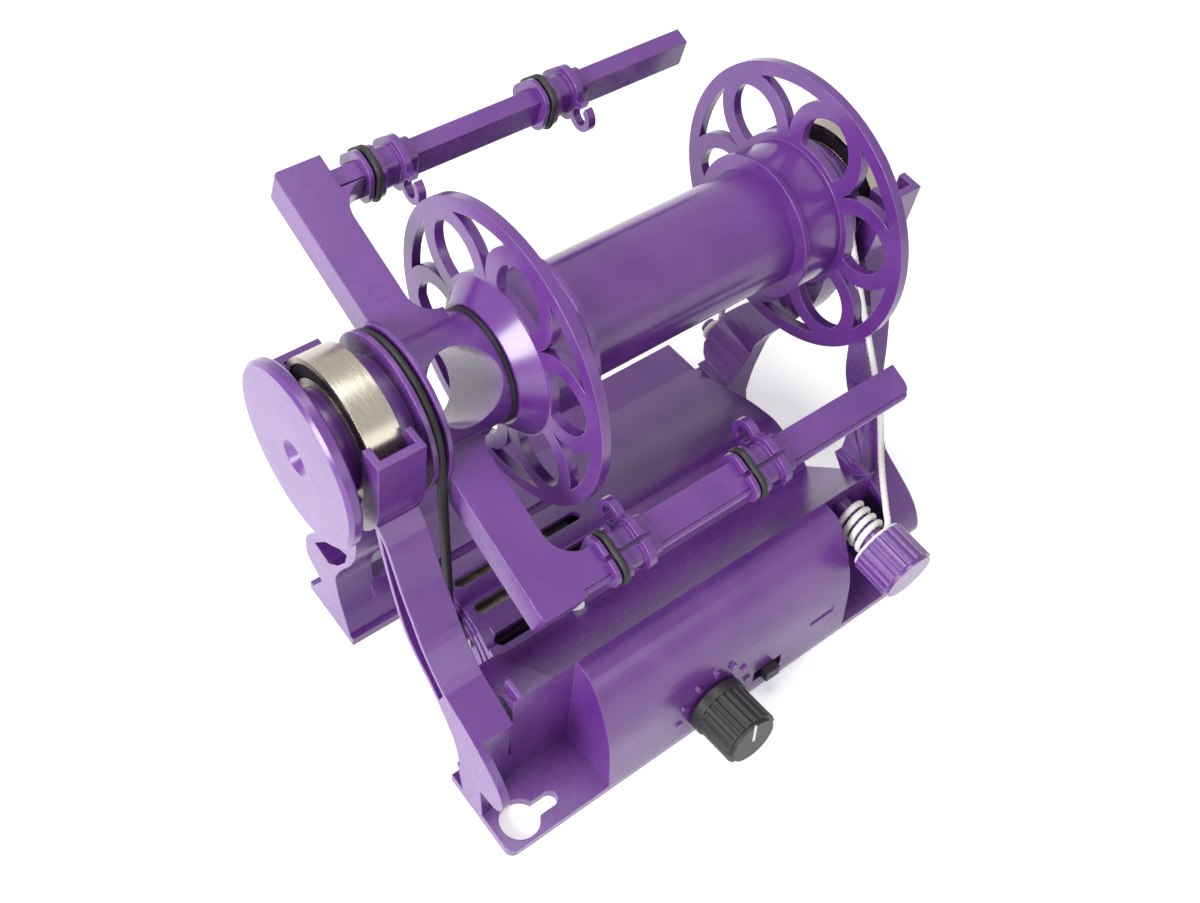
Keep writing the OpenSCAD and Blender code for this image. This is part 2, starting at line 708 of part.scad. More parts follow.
module right_upright() {
    color(violet)
        difference() {
            union() {
                cradle(right_brg, right_in, right_out);
                difference() {
                    union() {
                        lean_leg(front_loft_a, front_loft_b);
                        lean_leg(back_loft_a, back_loft_b);
                    }
                    translate([right_in - 5 * eps, 0, spindle_h])
                        rotate([0, 90, 0])
                            cylinder(h = cradle_t + 9 * eps, r = cradle_r - cradle_wall / 2, $fn = 96);
                }
                intersection() {
                    along_x(housing_r, foot_t)
                        front_leg_outline();
                    low_leg_mask(0.395);
                }
                intersection() {
                    along_x(housing_r, foot_t)
                        back_leg_outline();
                    low_leg_mask(0.17);
                }
                translate([anchor_x, anchor_y, anchor_z])
                    rotate([90, 0, 0])
                        cylinder(h = anchor_len + eps, r = anchor_r);
                translate([anchor_x, anchor_y, anchor_z])
                    rotate([90, 0, 0])
                        cylinder(h = anchor_head, r = anchor_r * 1.5);
            }
            for (p = [foot_screws[1], foot_screws[3]])
                screw_hole(p);
            translate([housing_r - eps, 0, 0])
                along_x(0, eps + recess_depth)
                    polygon([yz([-0.86, 0.34]), yz([-0.895, 0.27]), yz([-0.885, 0.235]), yz([-0.80, 0.225]),
                        yz([-0.735, 0.25]), yz([-0.70, 0.32]), yz([-0.74, 0.38]), yz([-0.80, 0.375])]);
        }
}

// Motor, pulley and band
pulley_rim = 1.4;
pulley_side = 0.6;
pulley_w = groove_w + 2 * pulley_side;
motor_boss_len = 1.2;
motor_screw_y = 6;
motor_screw_r = 0.9;
motor_head_t = 0.6;

module motor_can() {
    color(steel)
        difference() {
            union() {
                intersection() {
                    rod_x(motor_x, motor_len, motor_d / 2, motor_y, motor_z);
                    translate([motor_x - eps, motor_y - motor_d, motor_z - motor_flat / 2])
                        cube([motor_len + 2 * eps, motor_d * 2, motor_flat]);
                }
                rod_x(motor_x - motor_boss_len, motor_boss_len + eps, motor_boss_r, motor_y, motor_z);
            }
            rod_x(motor_x - motor_boss_len - eps, motor_len + motor_boss_len + 2 * eps,
                motor_shaft_d / 2 + run_fit, motor_y, motor_z);
            for (s = [-1, 1])
                rod_x(motor_x - eps, eps + 3, motor_screw_r + run_fit, motor_y + s * motor_screw_y, motor_z);
        }
}

module motor_cap() {
    color(black)
        difference() {
            intersection() {
                rod_x(motor_x + motor_len, motor_cap_len, motor_d / 2 - part_gap, motor_y, motor_z);
                translate([motor_x, motor_y - motor_d, motor_z - motor_flat / 2])
                    cube([motor_len + motor_cap_len + eps, motor_d * 2, motor_flat]);
            }
            rod_x(motor_x + motor_len - eps, 2 + eps, motor_shaft_d / 2 + run_fit, motor_y, motor_z);
        }
}

module motor_screws() {
    color(steel)
        for (s = [-1, 1]) {
            rod_x(housing_l - motor_head_t, motor_head_t, motor_screw_r * 1.7, motor_y + s * motor_screw_y, motor_z);
            rod_x(housing_l - motor_head_t, motor_head_t + wall + 2, motor_screw_r, motor_y + s * motor_screw_y,
                motor_z);
        }
}

module motor_shaft() {
    color(steel)
        rod_x(whorl_x - pulley_w / 2 - part_gap, motor_x + motor_len + 1.5 - whorl_x + pulley_w / 2,
            motor_shaft_d / 2, motor_y, motor_z);
}

module motor_pulley() {
    r_low = pulley_r - band_d / 2 - run_fit;
    color(black)
        translate([whorl_x, motor_y, motor_z])
            rotate([0, 90, 0])
                rotate_extrude()
                    polygon([[motor_shaft_d / 2, -pulley_w / 2], [pulley_r + pulley_rim, -pulley_w / 2],
                        [pulley_r + pulley_rim, -groove_w / 2], [r_low, -groove_w / 2], [r_low, groove_w / 2],
                        [pulley_r + pulley_rim, groove_w / 2], [pulley_r + pulley_rim, pulley_w / 2],
                        [motor_shaft_d / 2, pulley_w / 2]]);
}

band_span = norm([motor_y, spindle_h - motor_z]);
band_lean = atan2(spindle_h - motor_z, -motor_y);
band_wrap = acos((band_hi_r - pulley_r) / band_span);

band_down = 180 + band_lean;
band_steps = 28;
band_low_steps = 12;
band_pts = concat(
    [for (i = [0:band_steps]) let (a = mix(band_down + band_wrap, band_down + 360 - band_wrap, i / band_steps))
        [0, band_hi_r * cos(a), spindle_h + band_hi_r * sin(a)]],
    [for (i = [0:band_low_steps]) let (a = band_down + band_wrap * (2 * i / band_low_steps - 1))
        [0, motor_y + pulley_r * cos(a), motor_z + pulley_r * sin(a)]]);

module drive_band() {
    color(black)
        translate([whorl_x, 0, 0])
            strand_loop(band_pts, band_d / 2, 12);
}

// Electronics and controls
pot_size = [9.8, 7, 5];
pot_set = wall + 1;
knob_gap = 0.5;
skirt_r = knob_r + 0.4;
skirt_len = 2.2;
pointer_w = 0.8;
pointer_depth = 0.4;
knob_bore_len = knob_len - 2.5;
switch_can = [10, 3.6, 4];
switch_nub = [4 - part_gap, 2.6, 3.8];
light_h = 4;

module circuit_board() {
    chip = [9, 6, 1.4];
    color(board_green) {
        translate([board_x, board_y, board_z])
            cube([board_w, board_d, board_t]);
        for (s = [0.25, 0.55, 0.8])
            translate([board_x + board_w * s - chip[0] / 2, board_y + (board_d - chip[1]) / 2, board_z + board_t / 2])
                cube([chip[0], chip[1], chip[2] + board_t / 2]);
    }
}

module potentiometer() {
    color(steel)
        on_panel(knob_x, knob_z)
            difference() {
                union() {
                    translate([-pot_size[0] / 2, -pot_size[1] / 2 + 1, -pot_set - pot_size[2]])
                        cube([pot_size[0], pot_size[1] - 1, pot_size[2]]);
                    translate([0, 0, -pot_set - eps])
                        cylinder(h = pot_set + eps, r = shaft_hole_r);
                }
                translate([0, 0, -pot_set - pot_size[2] / 2])
                    cylinder(h = knob_len, r = shaft_d / 2 - 0.5 + run_fit);
            }
}

module knob_shaft() {
    color(steel)
        on_panel(knob_x, knob_z)
            translate([0, 0, -pot_set - pot_size[2] / 2 + part_gap])
                cylinder(h = pot_set + pot_size[2] / 2 + knob_gap + knob_bore_len - 2 * part_gap,
                    r = shaft_d / 2 - 0.5);
}

module fluted(r, n, h) {
    cut = r * 0.09;
    linear_extrude(h)
        difference() {
            circle(r = r);
            for (i = [0:n - 1])
                rotate(i * 360 / n)
                    translate([r + cut * 0.35, 0])
                        circle(r = cut, $fn = 16);
        }
}

module speed_knob() {
    color(black)
        on_panel(knob_x, knob_z)
            translate([0, 0, knob_gap])
                difference() {
                    union() {
                        cylinder(h = skirt_len, r = skirt_r);
                        fluted(knob_r, flutes, knob_len - 0.8);
                        cylinder(h = knob_len, r = knob_r - 0.9);
                    }
                    translate([0, 0, -eps])
                        cylinder(h = knob_bore_len + eps, r = shaft_d / 2 - 0.5);
                    translate([-pointer_w / 2, 0, knob_len - pointer_depth])
                        cube([pointer_w, knob_r + eps, pointer_depth + eps]);
                }
}

module knob_pointer() {
    color(cord_white)
        on_panel(knob_x, knob_z)
            translate([-pointer_w / 2, 0, knob_gap + knob_len - pointer_depth])
                cube([pointer_w, knob_r - 0.9 - part_gap, pointer_depth]);
}

module switch_body() {
    color(steel)
        on_panel(switch_x, switch_z)
            translate([-switch_can[0] / 2, -switch_can[1] / 2, -wall - part_gap - switch_can[2]])
                cube(switch_can);
}

module switch_slider() {
    color(black)
        on_panel(switch_x, switch_z)
            translate([-switch_nub[0] / 2, -switch_nub[1] / 2, -wall - part_gap + seat_fit])
                cube(switch_nub);
}

module power_jack() {
    color(black)
        difference() {
            union() {
                translate([housing_r - wall - jack_size[0], jack_y - jack_size[1] / 2, jack_z])
                    cube(jack_size);
                rod_x(housing_r - wall - eps, wall + eps, jack_hole_r - run_fit, jack_y, jack_z + jack_size[2] / 2);
            }
            rod_x(housing_r - jack_size[0] + 1.5, jack_size[0], jack_hole_r - 0.25 - run_fit, jack_y,
                jack_z + jack_size[2] / 2);
        }
}

module jack_pin() {
    color(steel)
        rod_x(housing_r - jack_size[0] + 1.5, jack_size[0] - 3, 1, jack_y, jack_z + jack_size[2] / 2);
}

module status_light() {
    color("white")
        translate([light_x, light_y, valley_share * spindle_h - light_h + 1]) {
            cylinder(h = light_h, r = light_r);
        }
}

// Bearings
module outer_ring(x) {
    color(steel)
        spun(x)
            difference() {
                translate([brg_r - outer_ring_t, 0])
                    square([outer_ring_t, bearing_w]);
                translate([race_r, bearing_w / 2])
                    circle(d = ball_d + 2 * race_fit, $fn = 48);
            }
}

module inner_ring(x) {
    color(steel)
        spun(x)
            difference() {
                translate([neck_r, 0])
                    square([inner_ring_t, bearing_w]);
                translate([race_r, bearing_w / 2])
                    circle(d = ball_d + 2 * race_fit, $fn = 48);
            }
}

module ball_set(x) {
    color(steel)
        for (i = [0:balls - 1])
            translate([x + bearing_w / 2, 0, spindle_h])
                rotate([i * 360 / balls, 0, 0])
                    translate([0, 0, race_r])
                        sphere(d = ball_d, $fn = 32);
}

module seals(x) {
    color(black)
        for (s = [seal_inset, bearing_w - seal_inset - seal_t])
            spun(x + s)
                translate([neck_r + inner_ring_t + 0.15, 0])
                    square([brg_r - outer_ring_t - neck_r - inner_ring_t - 0.15, seal_t]);
}

module left_outer_ring() {
    outer_ring(left_brg);
}

module left_inner_ring() {
    inner_ring(left_brg);
}

module left_balls() {
    ball_set(left_brg);
}

module left_seals() {
    seals(left_brg);
}

module right_outer_ring() {
    outer_ring(right_brg);
}

module right_inner_ring() {
    inner_ring(right_brg);
}

module right_balls() {
    ball_set(right_brg);
}

module right_seals() {
    seals(right_brg);
}

// Flyer
arm_x = whorl_x + groove_w / 2 + 0.6;
arm_end = arm_x + arm_w;
bar_end = arm_end + bar_len;
hub_end = arm_x + 16.3;
cross_x = arm_x + 0.4 + cross_d / 2;
bore_turn = 29;
spigot_r = 6;
spigot_len = 11.7;
shoulder_r = neck_r + 1.5;
disc_root_r = 6;
disc_root_len = 8;
yarn_r = 2.5;
shaft_seat = 2;
elbow_r = 6.5;
web_r = 5;
bar_low = flyer_r - bar_h;
bar_pts = [[bar_low, 0], [flyer_r - 0.6, 0], [flyer_r - 0.3, 0.6], [bar_low + bar_h * 0.58, bar_t],
    [bar_low + 1, bar_t]];
tip_r = 4;
flute_r = flyer_r - 1.5;
flute_w = 0.4;
arm_hub_w = arm_w + 2.4;

module flyer_side(k) {
    translate([0, 0, spindle_h])
        rotate([k * 180 + flyer_turn, 0, 0])
            children();
}

arm_corner_r = 1;
rim_over = 0.3;
arm_root = 1.5;
fillet_in = 0.2;
web_in_r = hub_r + web_r - 0.6;
elbow_c = [arm_end + elbow_r, bar_low - elbow_r + fillet_in];
arc_n = 12;

// Points of an arc about c, from angle a to angle b
function arc_pts(c, r, a, b) = [for (i = [0:arc_n]) let (t = mix(a, b, i / arc_n)) c + r * [cos(t), sin(t)]];

module arm_outline() {
    polygon(concat([[arm_x, arm_root], [arm_end + web_r, arm_root]],
        arc_pts([arm_end + web_r, web_in_r], web_r, 270, 180), arc_pts(elbow_c, elbow_r, 180, 90),
        [[arm_end + arm_corner_r, bar_low + fillet_in], [arm_end + arm_corner_r, flyer_r]],
        arc_pts([arm_x + arm_corner_r, flyer_r - arm_corner_r], arm_corner_r, 90, 180)));
}

module bar_section() {
    difference() {
        polygon(bar_pts);
        translate([flute_r, -eps])
            square([flute_w, eps + flute_w]);
    }
}

module flyer() {
    color(violet)
        difference() {
            union() {
                for (k = [0, 1])
                    flyer_side(k) {
                        linear_extrude(arm_t)
                            arm_outline();
                        bar_solid();
                    }
                spun(left_brg)
                    polygon([[0, 0], [neck_r, 0], [neck_r, bearing_w], [shoulder_r, bearing_w],
                        [shoulder_r, whorl_x - groove_w / 2 - left_brg - 1], [whorl_r - 0.2, whorl_x - groove_w / 2
                        - left_brg - 1], [whorl_r - 0.2, whorl_x - groove_w / 2 - left_brg],
                        [whorl_low_r, whorl_x - groove_w / 2 - left_brg], [whorl_low_r, whorl_x + groove_w / 2
                        - left_brg], [whorl_r, whorl_x + groove_w / 2 - left_brg], [whorl_r, arm_x + rim_over - left_brg],
                        [hub_r, arm_x + rim_over - left_brg], [hub_r, hub_end - left_brg], [spigot_r, hub_end - left_brg],
                        [spigot_r, hub_end + spigot_len - left_brg], [0, hub_end + spigot_len - left_brg]]);
            }
            rod_x(left_brg - eps, cross_x - left_brg, yarn_r);
            rod_x(left_brg - eps, disc_root_len + eps, disc_root_r);
            rod_x(hub_end + spigot_len - shaft_grip, shaft_grip + eps, shaft_d / 2);
            translate([cross_x, 0, spindle_h])
                rotate([flyer_turn + bore_turn, 0, 0])
                    translate([0, 0, -hub_r * 1.5])
                        cylinder(h = hub_r * 3, d = cross_d);
        }
}

whorl_low_r = band_hi_r - band_d / 2 - run_fit;
shaft_grip = spigot_len - 0.5;

module bar_solid() {
    bar_x = arm_x + 2 * arm_corner_r;
    intersection() {
        translate([bar_x, 0, 0])
            rotate([90, 0, 90])
                linear_extrude(bar_end - bar_x)
                    bar_section();
        translate([0, 0, -arm_t])
            linear_extrude(3 * arm_t)
                polygon(concat([[arm_x, bar_low - arm_corner_r], [bar_end - eps, bar_low - arm_corner_r]],
                    arc_pts([bar_end - eps - tip_r, flyer_r - tip_r], tip_r, 0, 90), [[arm_x, flyer_r]]));
    }
}

module orifice_disc() {
    neck = lip_t + 3.3;
    color(violet)
        spun(left_brg - neck - disc_t)
            polygon([[orifice_d / 2 + 2.1, 0], [disc_r - 0.7, 0], [disc_r, 0.7], [disc_r, disc_t - 0.4],
                [disc_r - 0.4, disc_t], [neck_r + 0.3, disc_t], [neck_r + 0.3, disc_t + neck * 0.3],
                [neck_r - 0.4, disc_t + neck * 0.3], [neck_r - 0.4, disc_t + neck * 0.5],
                [neck_r + 0.3, disc_t + neck * 0.5], [neck_r + 0.3, disc_t + neck], [disc_root_r, disc_t + neck],
                [disc_root_r, disc_t + neck + disc_root_len - part_gap],
                [yarn_r, disc_t + neck + disc_root_len - part_gap], [yarn_r, disc_t + neck],
                [orifice_d / 2, disc_t + neck * 0.5], [orifice_d / 2, 2]]);
}

module flyer_shaft() {
    x0 = hub_end + spigot_len - shaft_grip;
    color(steel)
        rod_x(x0, right_brg + bearing_w + 0.5 - x0, shaft_d / 2);
}

washer_t = 0.7;

module thrust_washer() {
    color(black)
        spun(hub_end)
            translate([spigot_r + run_fit, 0])
                square([hub_r + 0.5 - spigot_r - run_fit, washer_t]);
}

module end_plug() {
    color(deep_violet)
        spun(right_in)
            polygon([[shaft_d / 2, 0], [shoulder_r, 0], [shoulder_r, inner_lip_t], [neck_r, inner_lip_t],
                [neck_r, inner_lip_t + bearing_w], [shaft_d / 2, inner_lip_t + bearing_w]]);
}

// Bobbin
bob_x = hub_end + washer_t + part_gap;
cone_len = 3.8;
flange_lx = bob_x + cone_len;
flange_rx = flange_lx + bobbin_span - flange_t;
web_flat_r = collar_r + 1.5;
web_in = 0.5;
web_spun_r = web_flat_r - web_in;
petal_u = 20.2;
petal_v = 1.2;
core_wall = 1.6;
cup_depth = 8;
brake_x = flange_rx + flange_t;
brake_w = cord_d + 0.5;
brake_low_r = 13.4;
brake_rim_t = 0.9;
brake_rim_r = brake_low_r + 1.6;
brake_mid = brake_x + brake_w / 2;
bob_end = right_in - part_gap;
bush_r = 6.5;
tie_d = 3;
flange_turn = 42;

module lens(r) {
    intersection() {
        translate([petal_u, petal_v])
            circle(r = r);
        translate([petal_u, -petal_v])
            circle(r = r);
    }
}

module flange_outline() {
    difference() {
        union() {
            difference() {
                circle(r = flange_r, $fn = 120);
                circle(r = flange_r - flange_rim, $fn = 120);
            }
            circle(r = web_flat_r);
            intersection() {
                circle(r = flange_r - flange_rim / 2, $fn = 120);
                for (k = [0:5])
                    rotate(k * 60)
                        lens(petal_r + strand_w);
            }
        }
        for (k = [0:5])
            rotate(k * 60)
                difference() {
                    lens(petal_r);
                    circle(r = web_flat_r);
                }
        circle(r = core_r - 1);
    }
}

module flange(x) {
    translate([x, 0, spindle_h])
        rotate([flange_turn, 0, 0])
            rotate([90, 0, 90])
                linear_extrude(flange_t)
                    flange_outline();
}

module bobbin_left_end() {
    h = flange_lx - bob_x;
    color(violet)
        difference() {
            union() {
                flange(flange_lx);
                spun(bob_x)
                    polygon([[spigot_r + run_fit, 0], [core_r, 0], [web_spun_r, h], [web_spun_r, h + flange_t],
                        [collar_r, h + flange_t], [collar_r, h + flange_t + collar_len - 1.2],
                        [collar_r + 0.4, h + flange_t + collar_len - 1.2], [collar_r + 0.4, h + flange_t + collar_len],
                        [core_r + seat_fit, h + flange_t + collar_len], [core_r + seat_fit, h + flange_t + collar_len
                        - cup_depth], [spigot_r + run_fit, h + flange_t + collar_len - cup_depth]]);
            }
            translate([bob_x - eps, 0, spindle_h])
                rotate([flange_turn - 20, 0, 0])
                    translate([0, (core_r + spigot_r) / 2 + 1.5, 0])
                        rotate([0, 90, 0])
                            cylinder(h = h + 2 * eps, d = tie_d);
        }
}

core_x = flange_lx + flange_t + collar_len - cup_depth;
core_end = flange_rx - collar_len + cup_depth;

module bobbin_core() {
    color(violet)
        spun(core_x)
            translate([core_r - core_wall, 0])
                square([core_wall, core_end - core_x]);
}

module bobbin_right_end() {
    x0 = flange_rx - collar_len;
    h = collar_len;
    color(violet)
        union() {
            flange(flange_rx);
            spun(x0)
                polygon([[core_r + seat_fit, 0], [collar_r + 0.4, 0], [collar_r + 0.4, 1.2], [collar_r, 1.2],
                    [collar_r, h], [web_spun_r, h], [web_spun_r, h + flange_t], [brake_low_r, h + flange_t],
                    [brake_low_r, h + flange_t + brake_w], [brake_rim_r, h + flange_t + brake_w],
                    [brake_rim_r, h + flange_t + brake_w + brake_rim_t],
                    [bush_r + 1, h + flange_t + brake_w + brake_rim_t], [bush_r, bob_end - x0],
                    [shaft_d / 2 + run_fit, bob_end - x0], [shaft_d / 2 + run_fit, cup_depth],
                    [core_r + seat_fit, cup_depth]]);
        }
}

// Yarn guides
core_pts = [[bar_low + 1.4, 1.3], [flyer_r - 2, 1.2], [bar_low + bar_h * 0.47, bar_t - 1.2],
    [bar_low + 2, bar_t - 1.2]];
sleeve_g = 2.15;
ring_g = sleeve_g + seat_fit * 3 + ring_d / 2;
lip_g = 3.2;
collar_g = 3.5;
slide_fit = 0.08;
guide_lip_t = 1;
guide_groove = ring_d + 0.4;
guide_collar_x = 7.6;
guide_collar_t = 1.6;
hook_c_r = bar_low - 3.6;
hook_r = 3.3;
hook_hole_r = 1.9;
hook_t = 1.8;
slit_w = 1;

// Outside of one length of a guide
module guide_slice(x, w, g) {
    translate([x, 0, 0])
        rotate([90, 0, 90])
            linear_extrude(w)
                polygon(loop_about(core_pts, g));
}

// What the guide's bore and its slit take out
module guide_bore() {
    translate([-eps, 0, 0])
        rotate([90, 0, 90])
            linear_extrude(guide_len + 2 * eps) {
                polygon(grow(bar_pts, slide_fit));
                translate([(bar_low + flyer_r) / 2 - slit_w / 2, -bar_t])
                    square([slit_w, bar_t + bar_t / 4]);
            }
}

module guide(k, x) {
    color(violet)
        flyer_side(k)
            translate([arm_end + x, 0, 0])
                difference() {
                    union() {
                        guide_slice(0, guide_len, sleeve_g);
                        guide_slice(0, guide_lip_t, lip_g);
                        guide_slice(guide_lip_t + guide_groove, guide_lip_t, lip_g);
                        guide_slice(guide_collar_x, guide_collar_t, collar_g);
                        translate([guide_collar_x, hook_c_r, bar_t / 2]) {
                            rotate([0, 90, 0])
                                cylinder(h = hook_t, r = hook_r);
                            translate([0, 0, -hook_r / 2])
                                cube([hook_t, bar_low - hook_c_r, hook_r]);
                        }
                    }
                    guide_bore();
                    translate([guide_collar_x - eps, hook_c_r, bar_t / 2]) {
                        rotate([0, 90, 0])
                            cylinder(h = hook_t + 2 * eps, r = hook_hole_r);
                        translate([0, -slit_w / 2, 0])
                            cube([hook_t + 2 * eps, slit_w, hook_r + eps]);
                    }
                }
}

ring_steps = 5;
function loop_about(pts, g) = let (n = len(pts)) [for (i = [0:n - 1]) each
    let (u = -left_of(unit(pts[i] - pts[(i + n - 1) % n])), v = -left_of(unit(pts[(i + 1) % n] - pts[i])))
    let (a = atan2(u[1], u[0]), w = (atan2(v[1], v[0]) - a + 360) % 360)
    [for (j = [0:ring_steps]) pts[i] + g * [cos(a + w * j / ring_steps), sin(a + w * j / ring_steps)]]];

module guide_ring(k, x) {
    color(black)
        flyer_side(k)
            translate([arm_end + x + guide_lip_t + guide_groove / 2, 0, 0])
                strand_loop([for (p = loop_about(core_pts, ring_g)) [0, p[0], p[1]]], ring_d / 2, 8);
}

module guide_a() {
    guide(1, guide_a_x);
}

module guide_b() {
    guide(1, guide_b_x);
}

module guide_c() {
    guide(0, guide_c_x);
}

module guide_d() {
    guide(0, guide_d_x);
}

module guide_ring_a() {
    guide_ring(1, guide_a_x);
}

module guide_ring_b() {
    guide_ring(1, guide_b_x);
}

module guide_ring_c() {
    guide_ring(0, guide_c_x);
}

module guide_ring_d() {
    guide_ring(0, guide_d_x);
}

// Brake
rib_y = -base_front * 0.778;
peg_inner = 3;
peg_end = -base_front * 0.94;
peg_stop_r = 4.2;
peg_stop_t = 1.5;
washer_r = tension_r - 0.4;
knob_face_y = peg_end - tension_len;
wind_r = peg_r + run_fit + cord_d / 2;
wind_gap_at = 0.45;
wind_pitch = cord_d + wind_gap_at;
disc_washer_t = 0.6;
wind_y = peg_end + disc_washer_t + part_gap + cord_d / 2;
anchor_y = base_front * 0.210;
anchor_z = spindle_h * 0.1986;
anchor_len = base_front * 0.125;
pin_place_share = 0.769;
pin_q = [anchor_y - anchor_len * 0.6, anchor_z];
anchor_x = mix(lean_in(pin_q), lean_out(pin_q), pin_place_share);
anchor_head = 0.8;
anchor_r = 1.3;
knot_r = anchor_r + run_fit + cord_d / 2;

module about_y(y, h, r) {
    translate([peg_x, y, peg_z])
        rotate([90, 0, 0])
            cylinder(h = h, r = r);
}

module tension_peg() {
    color(violet) {
        about_y(rib_y + peg_inner, rib_y + peg_inner - peg_end + tension_len / 2, peg_r);
    }
}

module tension_knob() {
    color(violet)
        translate([peg_x, peg_end, peg_z])
            rotate([90, 0, 0])
                difference() {
                    union() {
                        fluted(tension_r, flutes, tension_len - 0.7);
                        cylinder(h = tension_len, r = tension_r - 0.7);
                    }
                    translate([0, 0, -eps])
                        cylinder(h = eps + tension_len / 2, r = peg_r);
                }
}

module tension_washer() {
    color(cord_white)
        translate([peg_x, peg_end + disc_washer_t, peg_z])
            rotate([90, 0, 0])
                difference() {
                    cylinder(h = disc_washer_t, r = washer_r);
                    translate([0, 0, -eps])
                        cylinder(h = disc_washer_t + 2 * eps, r = peg_r + seat_fit);
                }
}

wind_pts = [for (i = [0:24 * turns]) let (a = i * 15)
    [peg_x + wind_r * cos(a), wind_y + wind_pitch * a / 360, peg_z - wind_r * sin(a)]];
wind_gap = min([for (i = [0:24 * (turns - 1)]) min([for (j = [18:30]) norm(wind_pts[i] - wind_pts[min(i + j, 24 * turns)])])])
    - cord_d;
echo(least_gap_of_winding = wind_gap);

module brake_winding() {
    color(cord_white)
        strand_tube(concat([wind_pts[0] + [0, 0, cord_d]], wind_pts), cord_d / 2, 6, [0, 1, 0]);
}

// Route of the brake cord: knot, round the brake groove, over the front leg, down to the winding
brake_r = brake_low_r + 2 * run_fit + cord_d / 2;
knot_start = [anchor_x + knot_r, anchor_y - anchor_head - cord_d / 2 - part_gap, anchor_z];
leg_rest = [60.1, -37, 34.9];
wind_start = [peg_x + wind_r, wind_y, peg_z];
function to_groove(p, s) = let (v = [p[1], p[2] - spindle_h]) atan2(v[1], v[0]) + s * acos(brake_r / norm(v));
arc_a = to_groove(knot_start, 1);
arc_b = to_groove(leg_rest, -1) + 360;
arc_steps = 20;
cord_arc = [for (i = [0:arc_steps]) let (a = mix(arc_a, arc_b, i / arc_steps))
    [brake_mid, brake_r * cos(a), spindle_h + brake_r * sin(a)]];
wind_lead = [2.2, 3, 3.2];
wind_turn = [0.4, 0.5, 2.8];
cord_pts = concat([knot_start, knot_start + [0, 0, cord_d]], [mix(knot_start, cord_arc[0], 0.5)], cord_arc,
    [mix(cord_arc[arc_steps], leg_rest, 0.5)], smooth([leg_rest, mix(leg_rest, wind_start, 0.5),
    wind_start + wind_lead, wind_start + wind_turn, wind_start + [0, 0, cord_d]], 3));

module brake_cord() {
    color(cord_white)
        strand_tube(cord_pts, cord_d / 2, 8, [1, 0, 0]);
}

module cord_knot() {
    color(cord_white)
        translate([anchor_x, knot_start[1], anchor_z])
            rotate([90, 0, 0])
                rotate_extrude($fn = 48)
                    translate([knot_r, 0])
                        circle(d = cord_d, $fn = 20);
}

base_plate();
base_screws();
housing();
left_upright();
right_upright();
motor_can();
motor_cap();
motor_screws();
motor_shaft();
motor_pulley();
drive_band();
circuit_board();
potentiometer();
knob_shaft();
speed_knob();
knob_pointer();
switch_body();
switch_slider();
power_jack();
jack_pin();
status_light();
left_outer_ring();
left_inner_ring();
left_balls();
left_seals();
right_outer_ring();
right_inner_ring();
right_balls();
right_seals();
flyer();
orifice_disc();
flyer_shaft();
thrust_washer();
end_plug();
bobbin_left_end();
bobbin_core();
bobbin_right_end();
guide_a();
guide_b();
guide_c();
guide_d();
guide_ring_a();
guide_ring_b();
guide_ring_c();
guide_ring_d();
tension_peg();
tension_knob();
tension_washer();
brake_cord();
brake_winding();
cord_knot();
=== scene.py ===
"""Looks of a motor-driven yarn spinner: its finishes, its cord and rubber rings, and a plain studio round it."""

import logging
import math
from dataclasses import dataclass, field
from enum import Enum
from typing import Dict, List, Optional, Sequence, Tuple

import bpy
from mathutils import Matrix, Vector


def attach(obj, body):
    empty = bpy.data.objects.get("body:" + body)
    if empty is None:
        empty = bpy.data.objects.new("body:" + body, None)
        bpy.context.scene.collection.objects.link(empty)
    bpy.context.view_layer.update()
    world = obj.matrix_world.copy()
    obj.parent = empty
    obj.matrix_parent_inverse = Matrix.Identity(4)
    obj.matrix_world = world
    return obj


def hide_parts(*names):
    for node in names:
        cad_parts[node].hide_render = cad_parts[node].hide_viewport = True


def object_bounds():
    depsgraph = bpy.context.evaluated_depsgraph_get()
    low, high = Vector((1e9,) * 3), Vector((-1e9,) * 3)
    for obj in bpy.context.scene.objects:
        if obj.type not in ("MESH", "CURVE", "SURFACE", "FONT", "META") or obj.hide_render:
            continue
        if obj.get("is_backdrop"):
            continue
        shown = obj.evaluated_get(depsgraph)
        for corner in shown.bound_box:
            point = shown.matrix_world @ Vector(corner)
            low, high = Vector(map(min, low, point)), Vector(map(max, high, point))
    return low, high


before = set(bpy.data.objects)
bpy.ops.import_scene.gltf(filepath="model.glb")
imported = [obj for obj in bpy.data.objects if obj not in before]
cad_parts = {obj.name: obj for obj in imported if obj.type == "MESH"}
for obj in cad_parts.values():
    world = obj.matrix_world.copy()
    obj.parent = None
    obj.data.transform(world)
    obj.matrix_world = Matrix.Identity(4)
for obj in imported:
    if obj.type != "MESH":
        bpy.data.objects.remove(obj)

MM = 0.001
Point = Tuple[float, float, float]
LOG = logging.getLogger("yarn_spinner")

SPINDLE_Z = 64.45
FLYER_TURN = 17.0

# a cord's strands: share of the radius left in the valleys, and how flat their crowns are
VALLEY_SHARE = 0.72
LOBE_POWER = 0.7


def linear(hex_colour: str, alpha: float = 1.0) -> Tuple[float, float, float, float]:
    """Turns an sRGB hex value into linear colour.

    Args:
        hex_colour: Six hex digits after a hash.
        alpha: Opacity that goes with it.

    Returns:
        Red, green, blue and alpha in linear light.
    """
    parts = [int(hex_colour[i : i + 2], 16) / 255 for i in (1, 3, 5)]
    r, g, b = (c / 12.92 if c <= 0.04045 else ((c + 0.055) / 1.055) ** 2.4 for c in parts)
    return r, g, b, alpha


def per_metre(size_mm: float) -> float:
    """Scale of a texture whose features are size_mm across."""
    return 1.0 / (size_mm * MM)


